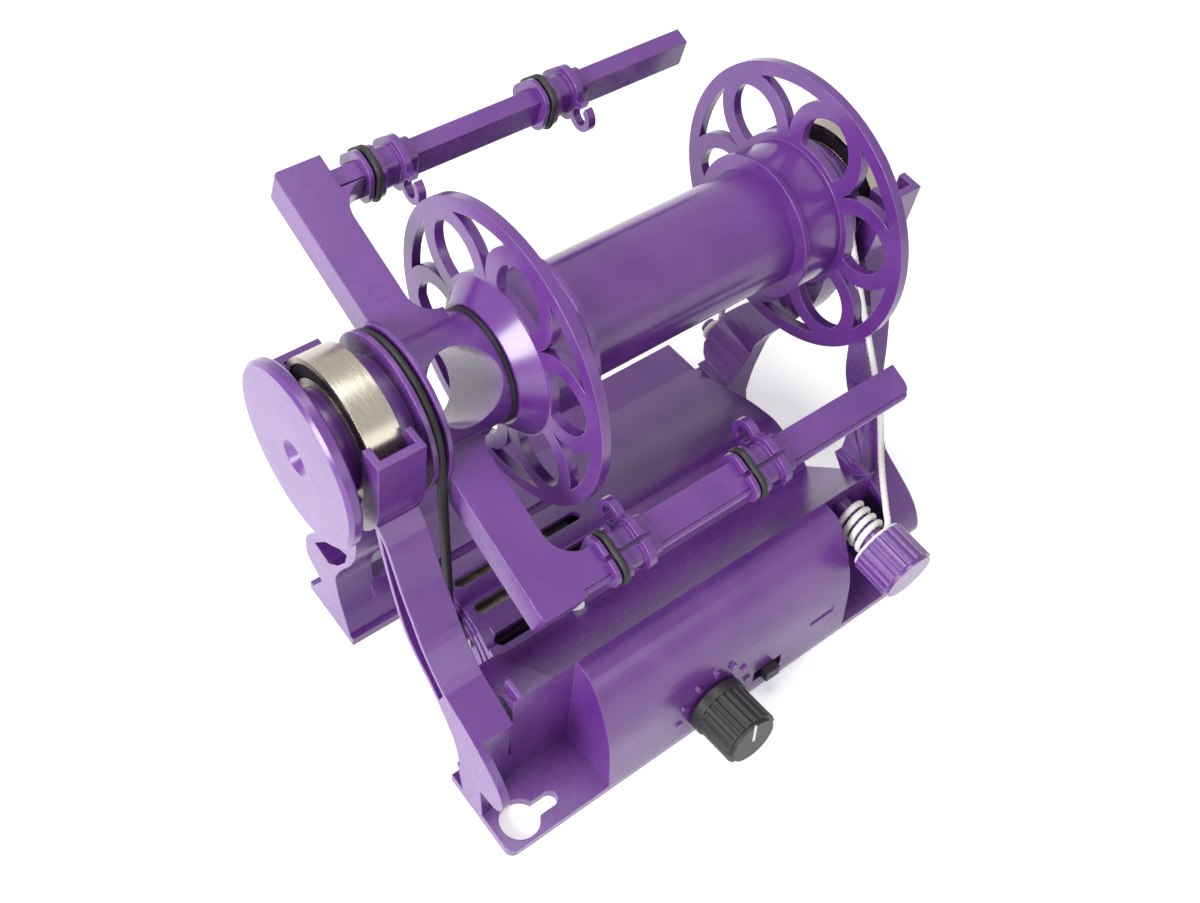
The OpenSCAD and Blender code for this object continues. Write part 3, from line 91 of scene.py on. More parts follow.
def metres(point: Sequence[float]) -> Vector:
    """A place in millimetres as a vector in metres."""
    return Vector([c * MM for c in point])


def add_node(
    tree: bpy.types.NodeTree,
    kind: str,
    settings: Optional[Dict[str, object]] = None,
    links: Optional[Dict[object, bpy.types.NodeSocket]] = None,
) -> bpy.types.Node:
    """Adds one shader node.

    Args:
        tree: Node tree that takes it.
        kind: Node type's identifier.
        settings: Attributes of the node, or values of its inputs by name.
        links: Output sockets by the name or number of the input they feed.

    Returns:
        The new node.
    """
    node = tree.nodes.new(kind)
    for key, value in (settings or {}).items():
        if isinstance(key, str) and hasattr(node, key):
            setattr(node, key, value)
        else:
            node.inputs[key].default_value = value
    for key, socket in (links or {}).items():
        tree.links.new(socket, node.inputs[key])
    return node


def noise(
    tree: bpy.types.NodeTree,
    coords: bpy.types.NodeSocket,
    size_mm: float,
    detail: float,
    **more: float,
) -> bpy.types.Node:
    """Adds a noise texture with features of a real size.

    Args:
        tree: Node tree that takes it.
        coords: Place on the piece, in metres.
        size_mm: Size of its features.
        detail: Octaves of finer noise.
        more: Values of its other inputs.

    Returns:
        The new node.
    """
    settings = {"Scale": per_metre(size_mm), "Detail": detail, **more}
    return add_node(tree, "ShaderNodeTexNoise", settings, {"Vector": coords})


def new_material(name: str) -> Tuple[bpy.types.Material, bpy.types.NodeTree, bpy.types.Node]:
    """Makes an empty node material with one surface shader.

    Args:
        name: Name of the material and of its process.

    Returns:
        The material, its tree and its surface shader.
    """
    material = bpy.data.materials.new(name)
    material.use_nodes = True
    tree = material.node_tree
    tree.nodes.clear()
    shader = add_node(tree, "ShaderNodeBsdfPrincipled")
    add_node(tree, "ShaderNodeOutputMaterial", links={"Surface": shader.outputs["BSDF"]})
    return material, tree, shader


class Grind(Enum):
    """How a steel face got its marks."""

    ROUND = "ground round the axis"
    FLAT = "rolled sheet"


@dataclass(frozen=True)
class EjectorMarks:
    """Round witness lines that a mould's ejector pins leave, as a groove in the surface."""

    radius_mm: float = 1.55
    line_mm: float = 0.16
    depth_mm: float = 0.06
    places: Tuple[Tuple[float, float], ...] = ((-35.6, 18.5), (-35.6, 41.5), (-35.6, -18.5), (-35.6, -41.5))

    def height(self, tree: bpy.types.NodeTree, coords: bpy.types.NodeSocket) -> bpy.types.NodeSocket:
        """Draws the marks on the flyer's two arms.

        Args:
            tree: Node tree that takes the nodes.
            coords: Place on the piece, in metres.

        Returns:
            One inside a line and nought elsewhere.
        """
        turn = math.radians(FLYER_TURN)
        moved = add_node(
            tree, "ShaderNodeVectorMath", {"operation": "SUBTRACT", 1: (0, 0, SPINDLE_Z * MM)}, {0: coords}
        )
        arm = add_node(
            tree,
            "ShaderNodeVectorMath",
            {"operation": "DOT_PRODUCT", 1: (0, math.cos(turn), math.sin(turn))},
            {0: moved.outputs[0]},
        )
        apart = add_node(tree, "ShaderNodeSeparateXYZ", links={0: moved.outputs[0]})
        flat = add_node(tree, "ShaderNodeCombineXYZ", links={"X": apart.outputs["X"], "Y": arm.outputs["Value"]})
        total: Optional[bpy.types.NodeSocket] = None
        for x, r in self.places:
            gap = add_node(
                tree, "ShaderNodeVectorMath", {"operation": "DISTANCE", 1: (x * MM, r * MM, 0)}, {0: flat.outputs[0]}
            )
            ring = add_node(
                tree,
                "ShaderNodeMath",
                {"operation": "COMPARE", 1: self.radius_mm * MM, 2: self.line_mm * MM / 2},
                {0: gap.outputs["Value"]},
            )
            if total is None:
                total = ring.outputs[0]
            else:
                both = add_node(tree, "ShaderNodeMath", {"operation": "MAXIMUM"}, {0: total, 1: ring.outputs[0]})
                total = both.outputs[0]
        return total


@dataclass(frozen=True)
class MouldedPlastic:
    """Injection-moulded ABS: even colour, faint flow clouds, a fine eggshell grain and rounded edges with a painted
    highlight and wear that make them paler.
    """

    name: str
    colour: str
    cloud: str
    # paler colour painted on the edges, partly a painted highlight and partly wear
    edge_highlight_and_wear: str
    roughness: float = 0.25
    grain_mm: float = 0.35
    grain_depth_mm: float = 0.006
    flow_mm: float = 14.0
    scuff_mm: float = 2.2
    edge_mm: float = 0.35
    gloss: float = 0.12
    marks: Optional[EjectorMarks] = None

    def material(self) -> bpy.types.Material:
        """Builds the plastic.

        Returns:
            The finished material.
        """
        material, tree, shader = new_material(self.name)
        coords = add_node(tree, "ShaderNodeTexCoord").outputs["Object"]
        # flow clouds: pigment drawn out along the melt shows as slow changes of tone
        flow = noise(tree, coords, self.flow_mm, 3.0, Distortion=0.6)
        tone = add_node(tree, "ShaderNodeMapRange", {"From Min": 0.35, "From Max": 0.68}, {"Value": flow.outputs[0]})
        body = add_node(
            tree,
            "ShaderNodeMixRGB",
            {"Color1": linear(self.colour), "Color2": linear(self.cloud)},
            {"Fac": tone.outputs[0]},
        )
        # edges: painted highlight and wear, where the colour turns paler as the rounded normal leans from the true
        # face, standing for the light a moulded arris catches and for its rubbing
        round_edge = add_node(tree, "ShaderNodeBevel", {"samples": 6, "Radius": self.edge_mm * MM})
        true_face = add_node(tree, "ShaderNodeNewGeometry")
        facing = add_node(
            tree,
            "ShaderNodeVectorMath",
            {"operation": "DOT_PRODUCT"},
            {0: round_edge.outputs[0], 1: true_face.outputs["Normal"]},
        )
        edge_highlight_and_wear_mask = add_node(
            tree,
            "ShaderNodeMapRange",
            {"From Min": 0.995, "From Max": 0.80, "To Max": 0.45},
            {"Value": facing.outputs["Value"]},
        )
        colour = add_node(
            tree,
            "ShaderNodeMixRGB",
            {"Color2": linear(self.edge_highlight_and_wear)},
            {"Fac": edge_highlight_and_wear_mask.outputs[0], "Color1": body.outputs[0]},
        )
        tree.links.new(colour.outputs[0], shader.inputs["Base Color"])
        # handling: duller patches where the gloss has been rubbed
        scuff = noise(tree, coords, self.scuff_mm, 5.0, Roughness=0.7)
        dull = add_node(
            tree,
            "ShaderNodeMapRange",
            {"From Min": 0.3, "From Max": 0.75, "To Min": self.roughness - 0.02, "To Max": self.roughness + 0.07},
            {"Value": scuff.outputs[0]},
        )
        tree.links.new(dull.outputs[0], shader.inputs["Roughness"])
        # grain: the spark-eroded mould face, drawn a little coarser than the real 0.1 mm so that it shows
        grain = noise(tree, coords, self.grain_mm, 2.0)
        bump = add_node(
            tree,
            "ShaderNodeBump",
            {"Strength": 0.6, "Distance": self.grain_depth_mm * MM},
            {"Height": grain.outputs[0], "Normal": round_edge.outputs[0]},
        )
        if self.marks:
            bump = add_node(
                tree,
                "ShaderNodeBump",
                {"Strength": 0.8, "Distance": self.marks.depth_mm * MM, "invert": True},
                {"Height": self.marks.height(tree, coords), "Normal": bump.outputs[0]},
            )
        tree.links.new(bump.outputs[0], shader.inputs["Normal"])
        shader.inputs["IOR"].default_value = 1.54
        shader.inputs["Coat Weight"].default_value = self.gloss
        shader.inputs["Coat Roughness"].default_value = 0.16
        return material


@dataclass(frozen=True)
class GroundSteel:
    """Bearing or shaft steel: bright, with fine grinding lines round the axis that stretch its reflections."""

    name: str
    colour: str = "#BDB6A9"
    shade: str = "#979083"
    roughness: float = 0.18
    line_mm: float = 0.12
    line_depth_mm: float = 0.004
    grind: Grind = Grind.ROUND
    edge_mm: float = 0.25

    def material(self) -> bpy.types.Material:
        """Builds the steel.

        Returns:
            The finished material.
        """
        material, tree, shader = new_material(self.name)
        coords = add_node(tree, "ShaderNodeTexCoord").outputs["Object"]
        long_way = 0.04 if self.grind is Grind.ROUND else 0.3
        stretched = add_node(
            tree,
            "ShaderNodeVectorMath",
            {"operation": "MULTIPLY", 1: (1.0, long_way, long_way)},
            {0: coords},
        )
        lines = noise(tree, stretched.outputs[0], self.line_mm, 3.0)
        tint = add_node(
            tree,
            "ShaderNodeMixRGB",
            {"Color1": linear(self.shade), "Color2": linear(self.colour)},
            {"Fac": lines.outputs[0]},
        )
        tree.links.new(tint.outputs[0], shader.inputs["Base Color"])
        gloss = add_node(
            tree,
            "ShaderNodeMapRange",
            {"From Min": 0.3, "From Max": 0.7, "To Min": self.roughness, "To Max": self.roughness + 0.14},
            {"Value": lines.outputs[0]},
        )
        tree.links.new(gloss.outputs[0], shader.inputs["Roughness"])
        round_edge = add_node(tree, "ShaderNodeBevel", {"samples": 4, "Radius": self.edge_mm * MM})
        bump = add_node(
            tree,
            "ShaderNodeBump",
            {"Strength": 0.35, "Distance": self.line_depth_mm * MM},
            {"Height": lines.outputs[0], "Normal": round_edge.outputs[0]},
        )
        tree.links.new(bump.outputs[0], shader.inputs["Normal"])
        shader.inputs["Metallic"].default_value = 1.0
        return material


@dataclass(frozen=True)
class MouldedRubber:
    """Black nitrile rubber: near-black, soft sheen, dusty grey where it is handled."""

    name: str
    colour: str = "#141415"
    dust: str = "#37363A"
    roughness: float = 0.48
    pore_mm: float = 0.4
    patch_mm: float = 3.6
    pore_depth_mm: float = 0.01

    def material(self) -> bpy.types.Material:
        """Builds the rubber.

        Returns:
            The finished material.
        """
        material, tree, shader = new_material(self.name)
        coords = add_node(tree, "ShaderNodeTexCoord").outputs["Object"]
        pores = noise(tree, coords, self.pore_mm, 4.0)
        patch = noise(tree, coords, self.patch_mm, 3.0)
        dusty = add_node(
            tree,
            "ShaderNodeMapRange",
            {"From Min": 0.5, "From Max": 0.85, "To Max": 0.5},
            {"Value": patch.outputs[0]},
        )
        tint = add_node(
            tree,
            "ShaderNodeMixRGB",
            {"Color1": linear(self.colour), "Color2": linear(self.dust)},
            {"Fac": dusty.outputs[0]},
        )
        tree.links.new(tint.outputs[0], shader.inputs["Base Color"])
        dull = add_node(
            tree,
            "ShaderNodeMapRange",
            {"To Min": self.roughness, "To Max": self.roughness + 0.2},
            {"Value": pores.outputs[0]},
        )
        tree.links.new(dull.outputs[0], shader.inputs["Roughness"])
        bump = add_node(
            tree,
            "ShaderNodeBump",
            {"Strength": 0.4, "Distance": self.pore_depth_mm * MM},
            {"Height": pores.outputs[0]},
        )
        tree.links.new(bump.outputs[0], shader.inputs["Normal"])
        shader.inputs["IOR"].default_value = 1.5
        return material


@dataclass(frozen=True)
class TwistedNylon:
    """Off-white nylon cord: soft fibres with a matt sheen, and painted shade that turns the valleys between its
    strands grey.
    """

    name: str
    colour: str = "#E9E4E0"
    valley_painted_shade: str = "#A79DA6"
    fibre_mm: float = 0.12
    fibre_depth_mm: float = 0.03
    painted_shade_reach_mm: float = 0.5

    def material(self) -> bpy.types.Material:
        """Builds the cord's fibre.

        Returns:
            The finished material.
        """
        material, tree, shader = new_material(self.name)
        coords = add_node(tree, "ShaderNodeTexCoord").outputs["Object"]
        fibres = noise(tree, coords, self.fibre_mm, 4.0)
        # painted shade: the colour goes grey where ambient occlusion finds the valleys between the strands
        painted_shade_ao = add_node(
            tree,
            "ShaderNodeAmbientOcclusion",
            {"samples": 6, "Distance": self.painted_shade_reach_mm * MM, "only_local": True},
        )
        painted_shade_mask = add_node(
            tree, "ShaderNodeMapRange", {"From Min": 0.35, "From Max": 0.95}, {"Value": painted_shade_ao.outputs["AO"]}
        )
        tint = add_node(
            tree,
            "ShaderNodeMixRGB",
            {"Color1": linear(self.valley_painted_shade), "Color2": linear(self.colour)},
            {"Fac": painted_shade_mask.outputs[0]},
        )
        tree.links.new(tint.outputs[0], shader.inputs["Base Color"])
        bump = add_node(
            tree,
            "ShaderNodeBump",
            {"Strength": 0.5, "Distance": self.fibre_depth_mm * MM},
            {"Height": fibres.outputs[0]},
        )
        tree.links.new(bump.outputs[0], shader.inputs["Normal"])
        shader.inputs["Roughness"].default_value = 0.78
        shader.inputs["Sheen Weight"].default_value = 0.35
        shader.inputs["Sheen Roughness"].default_value = 0.4
        return material


@dataclass(frozen=True)
class SolderMask:
    """Green solder mask on a circuit board: glossy lacquer over faint copper tracks."""

    name: str
    colour: str = "#0F5A32"
    track: str = "#1C7A45"
    pitch_mm: float = 1.27
    track_depth_mm: float = 0.03

    def material(self) -> bpy.types.Material:
        """Builds the board's face.

        Returns:
            The finished material.
        """
        material, tree, shader = new_material(self.name)
        coords = add_node(tree, "ShaderNodeTexCoord").outputs["Object"]
        tracks = add_node(
            tree,
            "ShaderNodeTexBrick",
            {
                "Scale": per_metre(self.pitch_mm * 4),
                "Color1": linear(self.colour),
                "Color2": linear(self.colour),
                "Mortar": linear(self.track),
                "Mortar Size": 0.04,
            },
            {"Vector": coords},
        )
        tree.links.new(tracks.outputs["Color"], shader.inputs["Base Color"])
        bump = add_node(
            tree,
            "ShaderNodeBump",
            {"Strength": 0.4, "Distance": self.track_depth_mm * MM},
            {"Height": tracks.outputs["Fac"]},
        )
        tree.links.new(bump.outputs[0], shader.inputs["Normal"])
        shader.inputs["Roughness"].default_value = 0.3
        return material


@dataclass
class Finishes:
    """All the finishes of the spinner, each made once."""

    made: Dict[str, bpy.types.Material] = field(default_factory=dict)

    def build(self) -> None:
        """Makes every finish and keeps it under a short name."""
        violet = {"colour": "#5A297B", "cloud": "#673685", "edge_highlight_and_wear": "#9A73B4", "gloss": 0.22}
        self.made = {
            "violet": MouldedPlastic("abs_moulded_violet", **violet).material(),
            "flyer": MouldedPlastic("abs_moulded_violet_with_pin_marks", marks=EjectorMarks(), **violet).material(),
            "bobbin": MouldedPlastic(
                "abs_moulded_violet_polished", roughness=0.22, grain_depth_mm=0.003, **violet
            ).material(),
            "black": MouldedPlastic(
                "abs_moulded_black",
                colour="#0F0E0F",
                cloud="#151415",
                edge_highlight_and_wear="#3A383B",
                roughness=0.46,
                scuff_mm=1.2,
                gloss=0.0,
            ).material(),
            "white": MouldedPlastic(
                "polystyrene_moulded_white", colour="#DEDCDD", cloud="#E8E6E6", edge_highlight_and_wear="#F2F0F0", edge_mm=0.12
            ).material(),
            "bearing": GroundSteel("bearing_steel_ground").material(),
            "shaft": GroundSteel("shaft_steel_ground", roughness=0.16, line_mm=0.2, edge_mm=0.15).material(),
            "plated": GroundSteel(
                "sheet_steel_zinc_plated",
                colour="#C6BFA9",
                shade="#9A9482",
                roughness=0.3,
                grind=Grind.FLAT,
                line_mm=0.5,
            ).material(),
            "rubber": MouldedRubber("nitrile_rubber_moulded").material(),
            "cord": TwistedNylon("nylon_cord_twisted").material(),
            "board": SolderMask("solder_mask_green").material(),
        }
        LOG.info("finishes: %d made", len(self.made))

    def dress(self, node: str, finish: str) -> None:
        """Gives a fixed piece one finish.

        Args:
            node: Name of the piece.
            finish: Short name of the finish.
        """
        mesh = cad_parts[node].data
        mesh.materials.clear()
        mesh.materials.append(self.made[finish])
        LOG.info("%s: %s", node, self.made[finish].name)


def rounded_route(points: Sequence[Vector], step: float) -> List[Vector]:
    """Even points along a smooth curve through the given ones.

    Args:
        points: Places that the curve passes.
        step: Distance between points, in metres.

    Returns:
        The finer route, with both ends kept.
    """
    fine: List[Vector] = []
    last = len(points) - 1
    for i in range(last):
        a, b = points[max(i - 1, 0)], points[i]
        c, d = points[i + 1], points[min(i + 2, last)]
        count = max(1, round((c - b).length / step))
        pull = (c - b).length * 3
        m1 = (c - a) / max((c - a).length, 1e-9) * pull / 3
        m2 = (d - b) / max((d - b).length, 1e-9) * pull / 3
        for k in range(count):
            t = k / count
            t2, t3 = t * t, t * t * t
            fine.append(b * (2 * t3 - 3 * t2 + 1) + m1 * (t3 - 2 * t2 + t) + c * (3 * t2 - 2 * t3) + m2 * (t3 - t2))
    fine.append(points[last].copy())
    return fine


def swept(
    name: str,
    route: Sequence[Vector],
    radius: float,
    sides: int,
    strands: int,
    lay: float,
    closed: bool,
) -> bpy.types.Object:
    """Sweeps a round or stranded section along a route.

    Args:
        name: Name of the piece.
        route: Centreline in metres.
        radius: Outside radius in metres.
        sides: Corners of the section.
        strands: Number of twisted strands, or nought for a round section.
        lay: Length of one full twist in metres.
        closed: Whether the route joins up with itself.

    Returns:
        The new piece.
    """
    count = len(route)
    tangents = []
    for i in range(count):
        before = route[i - 1] if closed or i else route[0]
        after = route[(i + 1) % count] if closed or i < count - 1 else route[count - 1]
        tangents.append((after - before).normalized())
    across = tangents[0].orthogonal().normalized()
    verts: List[Vector] = []
    travelled = 0.0
    whole = sum((route[(i + 1) % count] - route[i]).length for i in range(count if closed else count - 1))
    twist_rate = (round(whole / lay) / whole if closed else 1 / lay) * 2 * math.pi
    for i in range(count):
        if i:
            travelled += (route[i] - route[i - 1]).length
            across = (across - tangents[i] * across.dot(tangents[i])).normalized()
        up = tangents[i].cross(across)
        for s in range(sides):
            angle = 2 * math.pi * s / sides
            size = radius
            if strands:
                lobe = abs(math.cos(strands / 2 * (angle - travelled * twist_rate)))
                size = radius * (VALLEY_SHARE + (1 - VALLEY_SHARE) * lobe**LOBE_POWER)
            verts.append(route[i] + (across * math.cos(angle) + up * math.sin(angle)) * size)
    faces = []
    for i in range(count if closed else count - 1):
        j = (i + 1) % count
        for s in range(sides):
            t = (s + 1) % sides
            faces.append((i * sides + s, i * sides + t, j * sides + t, j * sides + s))
    if not closed:
        faces.append(tuple(range(sides - 1, -1, -1)))
        faces.append(tuple((count - 1) * sides + s for s in range(sides)))
    mesh = bpy.data.meshes.new(name)
    mesh.from_pydata([tuple(v) for v in verts], [], faces)
    mesh.update()
    for polygon in mesh.polygons:
        polygon.use_smooth = True
    piece = bpy.data.objects.new(name, mesh)
    bpy.context.scene.collection.objects.link(piece)
    return piece


@dataclass
class BrakeCord:
    """The brake's cord: tied at the back, over the bobbin's groove, down the front leg and wound on its peg."""

    diameter: float = 1.5
    groove_x: float = 60.2545
    groove_r: float = 14.25
    tie: Point = (60.4, 11.653, 12.8)
    tie_centre: Point = (58.3, 11.653, 12.8)
    tie_r: float = 2.1
    leg: Point = (60.1, -37.0, 34.9)
    peg: Point = (40.75, -58.792, 24.5)
    wind_r: float = 3.55
    pitch: float = 1.95
    turns: float = 4.5
    lay: float = 3.4
    wrap_from: float = -2.90
    wrap_to: float = 146.13
    wrap_steps: int = 20
    turn_steps: int = 48
    tie_steps: int = 72
    sides: int = 18
    strands: int = 3
    step_mm: float = 0.4
    run_in: Tuple[Point, ...] = ((2.2, 3.0, 3.2), (0.4, 0.5, 2.8), (0.0, 0.0, 1.5))

    def route(self) -> List[Vector]:
        """Centreline from the tie to the start of the winding.

        Returns:
            Even points in metres.
        """
        tie = Vector(self.tie)
        wrap = []
        for i in range(self.wrap_steps + 1):
            a = math.radians(self.wrap_from + (self.wrap_to - self.wrap_from) * i / self.wrap_steps)
            y, z = self.groove_r * math.cos(a), self.groove_r * math.sin(a)
            wrap.append(Vector((self.groove_x, y, SPINDLE_Z + z)))
        leg = Vector(self.leg)
        start = Vector(self.peg) + Vector((self.wind_r, 0, 0))
        points = [tie, tie + Vector((0, 0, self.diameter)), (tie + wrap[0]) / 2, *wrap, (wrap[-1] + leg) / 2, leg]
        points += [(leg + start) / 2, *(start + Vector(p) for p in self.run_in)]
        return rounded_route([metres(p) for p in points], self.step_mm * MM)

    def winding(self) -> List[Vector]:
        """Centreline of the turns on the peg."""
        peg = Vector(self.peg)
        points = [peg + Vector((self.wind_r, 0, self.diameter))]
        for i in range(round(self.turn_steps * self.turns) + 1):
            a = 2 * math.pi * i / self.turn_steps
            along = self.pitch * i / self.turn_steps
            points.append(peg + Vector((self.wind_r * math.cos(a), along, -self.wind_r * math.sin(a))))
        return [metres(p) for p in points]

    def tie_loop(self) -> List[Vector]:
        """Centreline of the tie round its pin."""
        points = []
        for i in range(self.tie_steps):
            a = 2 * math.pi * i / self.tie_steps
            out = Vector((self.tie_r * math.cos(a), 0, self.tie_r * math.sin(a)))
            points.append(metres(Vector(self.tie_centre) + out))
        return points

    def build(self, finishes: Finishes) -> None:
        """Builds the cord, its winding and its tie, and dresses them.

        Args:
            finishes: The finishes to take the cord's from.
        """
        section = (self.diameter * MM / 2, self.sides, self.strands, self.lay * MM)
        run = self.route()
        cord = swept("brake_cord_strands", run, *section, False)
        turns = swept("brake_winding_strands", self.winding(), *section, False)
        tie = swept("cord_tie_strands", self.tie_loop(), *section, True)
        pairs = ((cord, "brake_cord"), (turns, "brake_winding"), (tie, "cord_knot"))
        for piece, node in pairs:
            piece.data.materials.append(finishes.made["cord"])
            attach(piece, "frame")
            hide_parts(node)
            LOG.info("%s: %s", piece.name, finishes.made["cord"].name)


@dataclass
class GuideRings:
    """Rubber rings that hold the four sliding yarn guides on the flyer's bars."""

    thickness: float = 1.5
    squeeze: float = 0.985
    sides: int = 16
    corner_steps: int = 8
    off_core: float = 2.96
    groove_x: float = 1.95
    bar_start: float = -30.9455
    core: Tuple[Tuple[float, float], ...] = ((41.4, 1.3), (45.8, 1.2), (43.666, 5.3), (42.0, 5.3))
    guides: Tuple[Tuple[str, str, int, float], ...] = (
        ("guide_ring_a", "guide_lower_inner", 1, 7.1),
        ("guide_ring_b", "guide_lower_outer", 1, 41.6),
        ("guide_ring_c", "guide_upper_inner", 0, 6.9),
        ("guide_ring_d", "guide_upper_outer", 0, 48.1),
    )

    def outline(self) -> List[Tuple[float, float]]:
        """The ring's path round a guide, as distances along the arm and up from it.

        Returns:
            Points of the closed path.
        """
        points = [Vector(p) for p in self.core]
        loop: List[Tuple[float, float]] = []
        count = len(points)
        for i, p in enumerate(points):
            before, after = p - points[i - 1], points[(i + 1) % count] - p
            first = math.atan2(-before.x, before.y)
            last = math.atan2(-after.x, after.y)
            while last < first:
                last += 2 * math.pi
            for k in range(self.corner_steps + 1):
                a = first + (last - first) * k / self.corner_steps
                loop.append((p.x + self.off_core * math.cos(a), p.y + self.off_core * math.sin(a)))
        return loop

    def build(self, finishes: Finishes) -> None:
        """Builds the four rings and dresses them.

        Args:
            finishes: The finishes to take the rubber from.
        """
        for node, body, side, start in self.guides:
            turn = math.radians(FLYER_TURN + 180 * side)
            x = self.bar_start + start + self.groove_x
            path = []
            for r, n in self.outline():
                y = r * math.cos(turn) - n * math.sin(turn)
                z = r * math.sin(turn) + n * math.cos(turn)
                path.append(metres((x, y, SPINDLE_Z + z)))
            radius = self.thickness * MM / 2 * self.squeeze
            ring = swept(node + "_rubber", path, radius, self.sides, 0, 1.0, True)
            ring.data.materials.append(finishes.made["rubber"])
            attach(ring, body)
            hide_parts(node)
            LOG.info("%s: %s", ring.name, finishes.made["rubber"].name)


@dataclass
class Group:
    """Pieces of one part of the spinner, each with the short name of its finish."""

    pieces: Dict[str, str] = field(default_factory=dict)

    def dress(self, finishes: Finishes) -> None:
        """Dresses the group.

        Args:
            finishes: The finishes to take from.
        """
        for node, finish in self.pieces.items():
            finishes.dress(node, finish)


@dataclass
class Carcass(Group):
    """Floor plate, control housing and the two uprights that hold the bearings."""

    pieces: Dict[str, str] = field(
        default_factory=lambda: {
            "base_plate": "violet",
            "housing": "violet",
            "left_upright": "violet",
            "right_upright": "violet",
            "base_screws": "plated",
        }
    )


@dataclass
class DriveAndControls(Group):
    """Motor, band, circuit board, speed knob, switch and power socket."""

    pieces: Dict[str, str] = field(
        default_factory=lambda: {
            "motor_can": "plated",
            "motor_cap": "black",
            "motor_screws": "plated",
            "motor_shaft": "shaft",
            "motor_pulley": "black",
            "drive_band": "rubber",
            "circuit_board": "board",
            "potentiometer": "plated",
            "knob_shaft": "shaft",
            "speed_knob": "black",
            "knob_pointer": "white",
            "switch_body": "plated",
            "switch_slider": "black",
            "power_jack": "black",
            "jack_pin": "shaft",
            "status_light": "white",
        }
    )


@dataclass
class Bearings:
    """Two thin-section ball bearings with their rings, balls and seals."""

    sides: Tuple[str, str] = ("left", "right")
    parts: Dict[str, str] = field(
        default_factory=lambda: {
            "outer_ring": "bearing",
            "inner_ring": "bearing",
            "balls": "shaft",
            "seals": "rubber",
        }
    )

    def dress(self, finishes: Finishes) -> None:
        """Dresses both bearings.

        Args:
            finishes: The finishes to take from.
        """
        for side in self.sides:
            for part, finish in self.parts.items():
                finishes.dress(f"{side}_{part}", finish)


@dataclass
class FlyerAndBobbin(Group):
    """The turning flyer, its guides, its orifice disc and the bobbin on its shaft."""

    pieces: Dict[str, str] = field(
        default_factory=lambda: {
            "flyer": "flyer",
            "orifice_disc": "bobbin",
            "flyer_shaft": "shaft",
            "thrust_washer": "rubber",
            "end_plug": "violet",
            "bobbin_left_end": "bobbin",
            "bobbin_core": "bobbin",
            "bobbin_right_end": "bobbin",
            "guide_a": "bobbin",
            "guide_b": "bobbin",
            "guide_c": "bobbin",
            "guide_d": "bobbin",
        }
    )


@dataclass
class Brake(Group):
    """Tension peg with its ribbed knob and washer."""

    pieces: Dict[str, str] = field(
        default_factory=lambda: {"tension_peg": "violet", "tension_knob": "violet", "tension_washer": "white"}
    )


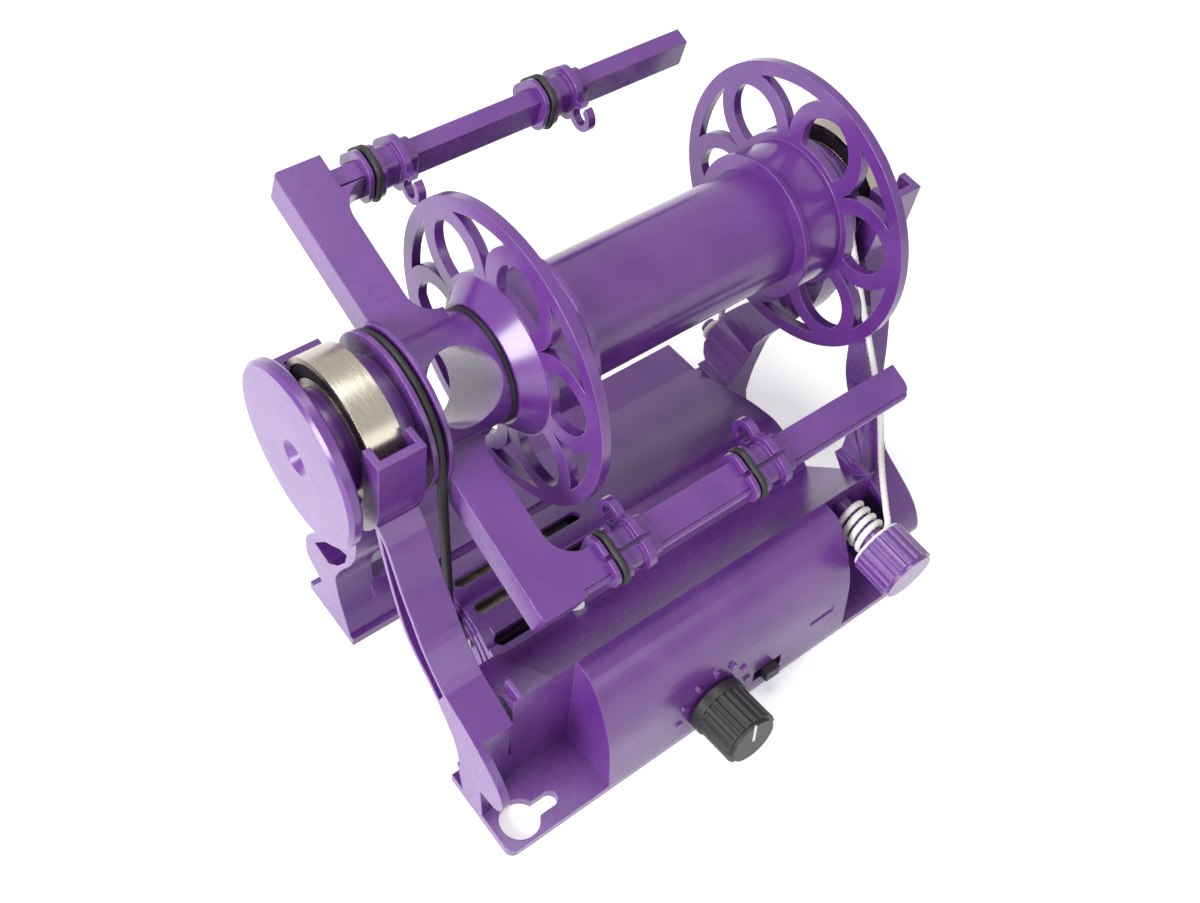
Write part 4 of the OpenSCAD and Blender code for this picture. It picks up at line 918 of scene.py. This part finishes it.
@dataclass
class Studio:
    """White floor, soft lamps and the camera."""

    eye: Point = (-128.70, -131.27, 270.07)
    right: Point = (0.783, -0.610, 0.122)
    forward: Point = (0.439, 0.402, -0.803)
    focal_px: float = 1406.9
    picture_px: float = 1200.0
    sensor_mm: float = 36.0
    floor_m: float = 6.0
    # share of full white that the floor glows with, near the object, where the lower glow paints shade round it, and
    # far from it, and those distances in metres
    floor_glow: Tuple[float, float] = (0.45, 1.0)
    glow_reach: Tuple[float, float] = (0.2, 0.7)
    # light of the world on surfaces, and the white that is seen in it
    world_light: Tuple[float, float] = (0.31, 1.0)
    # place and aim in metres, width in metres, power in watts
    lamps: Tuple[Tuple[str, Point, float, float], ...] = (
        ("key_left", (-0.80, -0.16, 0.40), 0.50, 9.5),
        ("top_soft", (-0.05, 0.25, 1.00), 0.55, 5.5),
        ("front_fill", (0.20, -0.95, 0.55), 0.60, 1.5),
    )

    def camera(self) -> None:
        """Sets the camera at the photograph's viewing angle."""
        data = bpy.data.cameras.new("camera")
        data.sensor_fit = "HORIZONTAL"
        data.sensor_width = self.sensor_mm
        data.lens = self.focal_px / self.picture_px * self.sensor_mm
        data.clip_start, data.clip_end = 0.01, 20.0
        eye = bpy.data.objects.new("camera", data)
        bpy.context.scene.collection.objects.link(eye)
        back = -Vector(self.forward).normalized()
        side = Vector(self.right)
        side = (side - back * side.dot(back)).normalized()
        turn = Matrix((side, back.cross(side), back)).transposed().to_4x4()
        eye.matrix_world = Matrix.Translation(metres(self.eye)) @ turn
        bpy.context.scene.camera = eye

    def lights(self) -> None:
        """Hangs the lamps and lights the world."""
        aim = Vector((0.0, -0.01, 0.04))
        for name, place, width, power in self.lamps:
            data = bpy.data.lights.new(name, "AREA")
            data.shape = "DISK"
            data.size, data.energy = width, power
            lamp = bpy.data.objects.new(name, data)
            lamp.location = place
            lamp.rotation_euler = (aim - Vector(place)).to_track_quat("-Z", "Y").to_euler()
            bpy.context.scene.collection.objects.link(lamp)
        world = bpy.data.worlds.new("studio_white")
        bpy.context.scene.world = world
        world.use_nodes = True
        tree = world.node_tree
        tree.nodes.clear()
        seen = self.seen(tree)
        dim, full = self.world_light
        strength = add_node(tree, "ShaderNodeMapRange", {"To Min": dim, "To Max": full}, {"Value": seen})
        back = add_node(tree, "ShaderNodeBackground", {"Color": (1, 1, 1, 1)}, {"Strength": strength.outputs[0]})
        add_node(tree, "ShaderNodeOutputWorld", links={"Surface": back.outputs[0]})

    def seen(self, tree: bpy.types.NodeTree) -> bpy.types.NodeSocket:
        """One for rays that show the background, straight, in metal or through glass.

        Args:
            tree: Node tree that takes the nodes.

        Returns:
            The socket with that value.
        """
        ray = add_node(tree, "ShaderNodeLightPath")
        both = add_node(
            tree,
            "ShaderNodeMath",
            {"operation": "MAXIMUM"},
            {0: ray.outputs["Is Camera Ray"], 1: ray.outputs["Is Glossy Ray"]},
        )
        total = add_node(
            tree,
            "ShaderNodeMath",
            {"operation": "MAXIMUM"},
            {0: both.outputs[0], 1: ray.outputs["Is Transmission Ray"]},
        )
        return total.outputs[0]

    def floor(self, height: float) -> None:
        """Lays a white floor that keeps a faint shadow, with painted shade round the object.

        Args:
            height: Height of the floor in metres.
        """
        half = self.floor_m / 2
        mesh = bpy.data.meshes.new("studio_floor")
        corners = [(x * half, y * half, height) for x, y in ((-1, -1), (1, -1), (1, 1), (-1, 1))]
        mesh.from_pydata(corners, [], [(0, 1, 2, 3)])
        floor = bpy.data.objects.new("studio_floor", mesh)
        bpy.context.scene.collection.objects.link(floor)
        material = bpy.data.materials.new("paper_white_matt")
        material.use_nodes = True
        tree = material.node_tree
        tree.nodes.clear()
        paper = add_node(tree, "ShaderNodeBsdfDiffuse", {"Color": linear("#F0F0F0")})
        # painted shade: the glow is low under the object, which darkens the floor round it where its shadow falls,
        # and full further out
        place = add_node(tree, "ShaderNodeNewGeometry")
        away = add_node(tree, "ShaderNodeVectorMath", {"operation": "LENGTH"}, {0: place.outputs["Position"]})
        level = add_node(
            tree,
            "ShaderNodeMapRange",
            {
                "From Min": self.glow_reach[0],
                "From Max": self.glow_reach[1],
                "To Min": self.floor_glow[0],
                "To Max": self.floor_glow[1],
            },
            {"Value": away.outputs["Value"]},
        )
        lift = add_node(tree, "ShaderNodeMath", {"operation": "MULTIPLY"}, {0: self.seen(tree), 1: level.outputs[0]})
        glow = add_node(tree, "ShaderNodeEmission", {"Color": (1, 1, 1, 1)}, {"Strength": lift.outputs[0]})
        both = add_node(tree, "ShaderNodeAddShader", links={0: paper.outputs[0], 1: glow.outputs[0]})
        add_node(tree, "ShaderNodeOutputMaterial", links={"Surface": both.outputs[0]})
        mesh.materials.append(material)
        floor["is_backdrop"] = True


def main() -> None:
    """Builds the spinner's looks in order."""
    logging.basicConfig(level=logging.INFO, format="%(name)s %(message)s")
    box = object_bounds()
    studio = Studio()
    studio.camera()
    finishes = Finishes()
    finishes.build()
    BrakeCord().build(finishes)
    GuideRings().build(finishes)
    Carcass().dress(finishes)
    DriveAndControls().dress(finishes)
    Bearings().dress(finishes)
    FlyerAndBobbin().dress(finishes)
    Brake().dress(finishes)
    studio.floor(box[0].z)
    studio.lights()
    bpy.context.scene.view_settings.view_transform = "Standard"


if __name__ == "__main__":
    main()
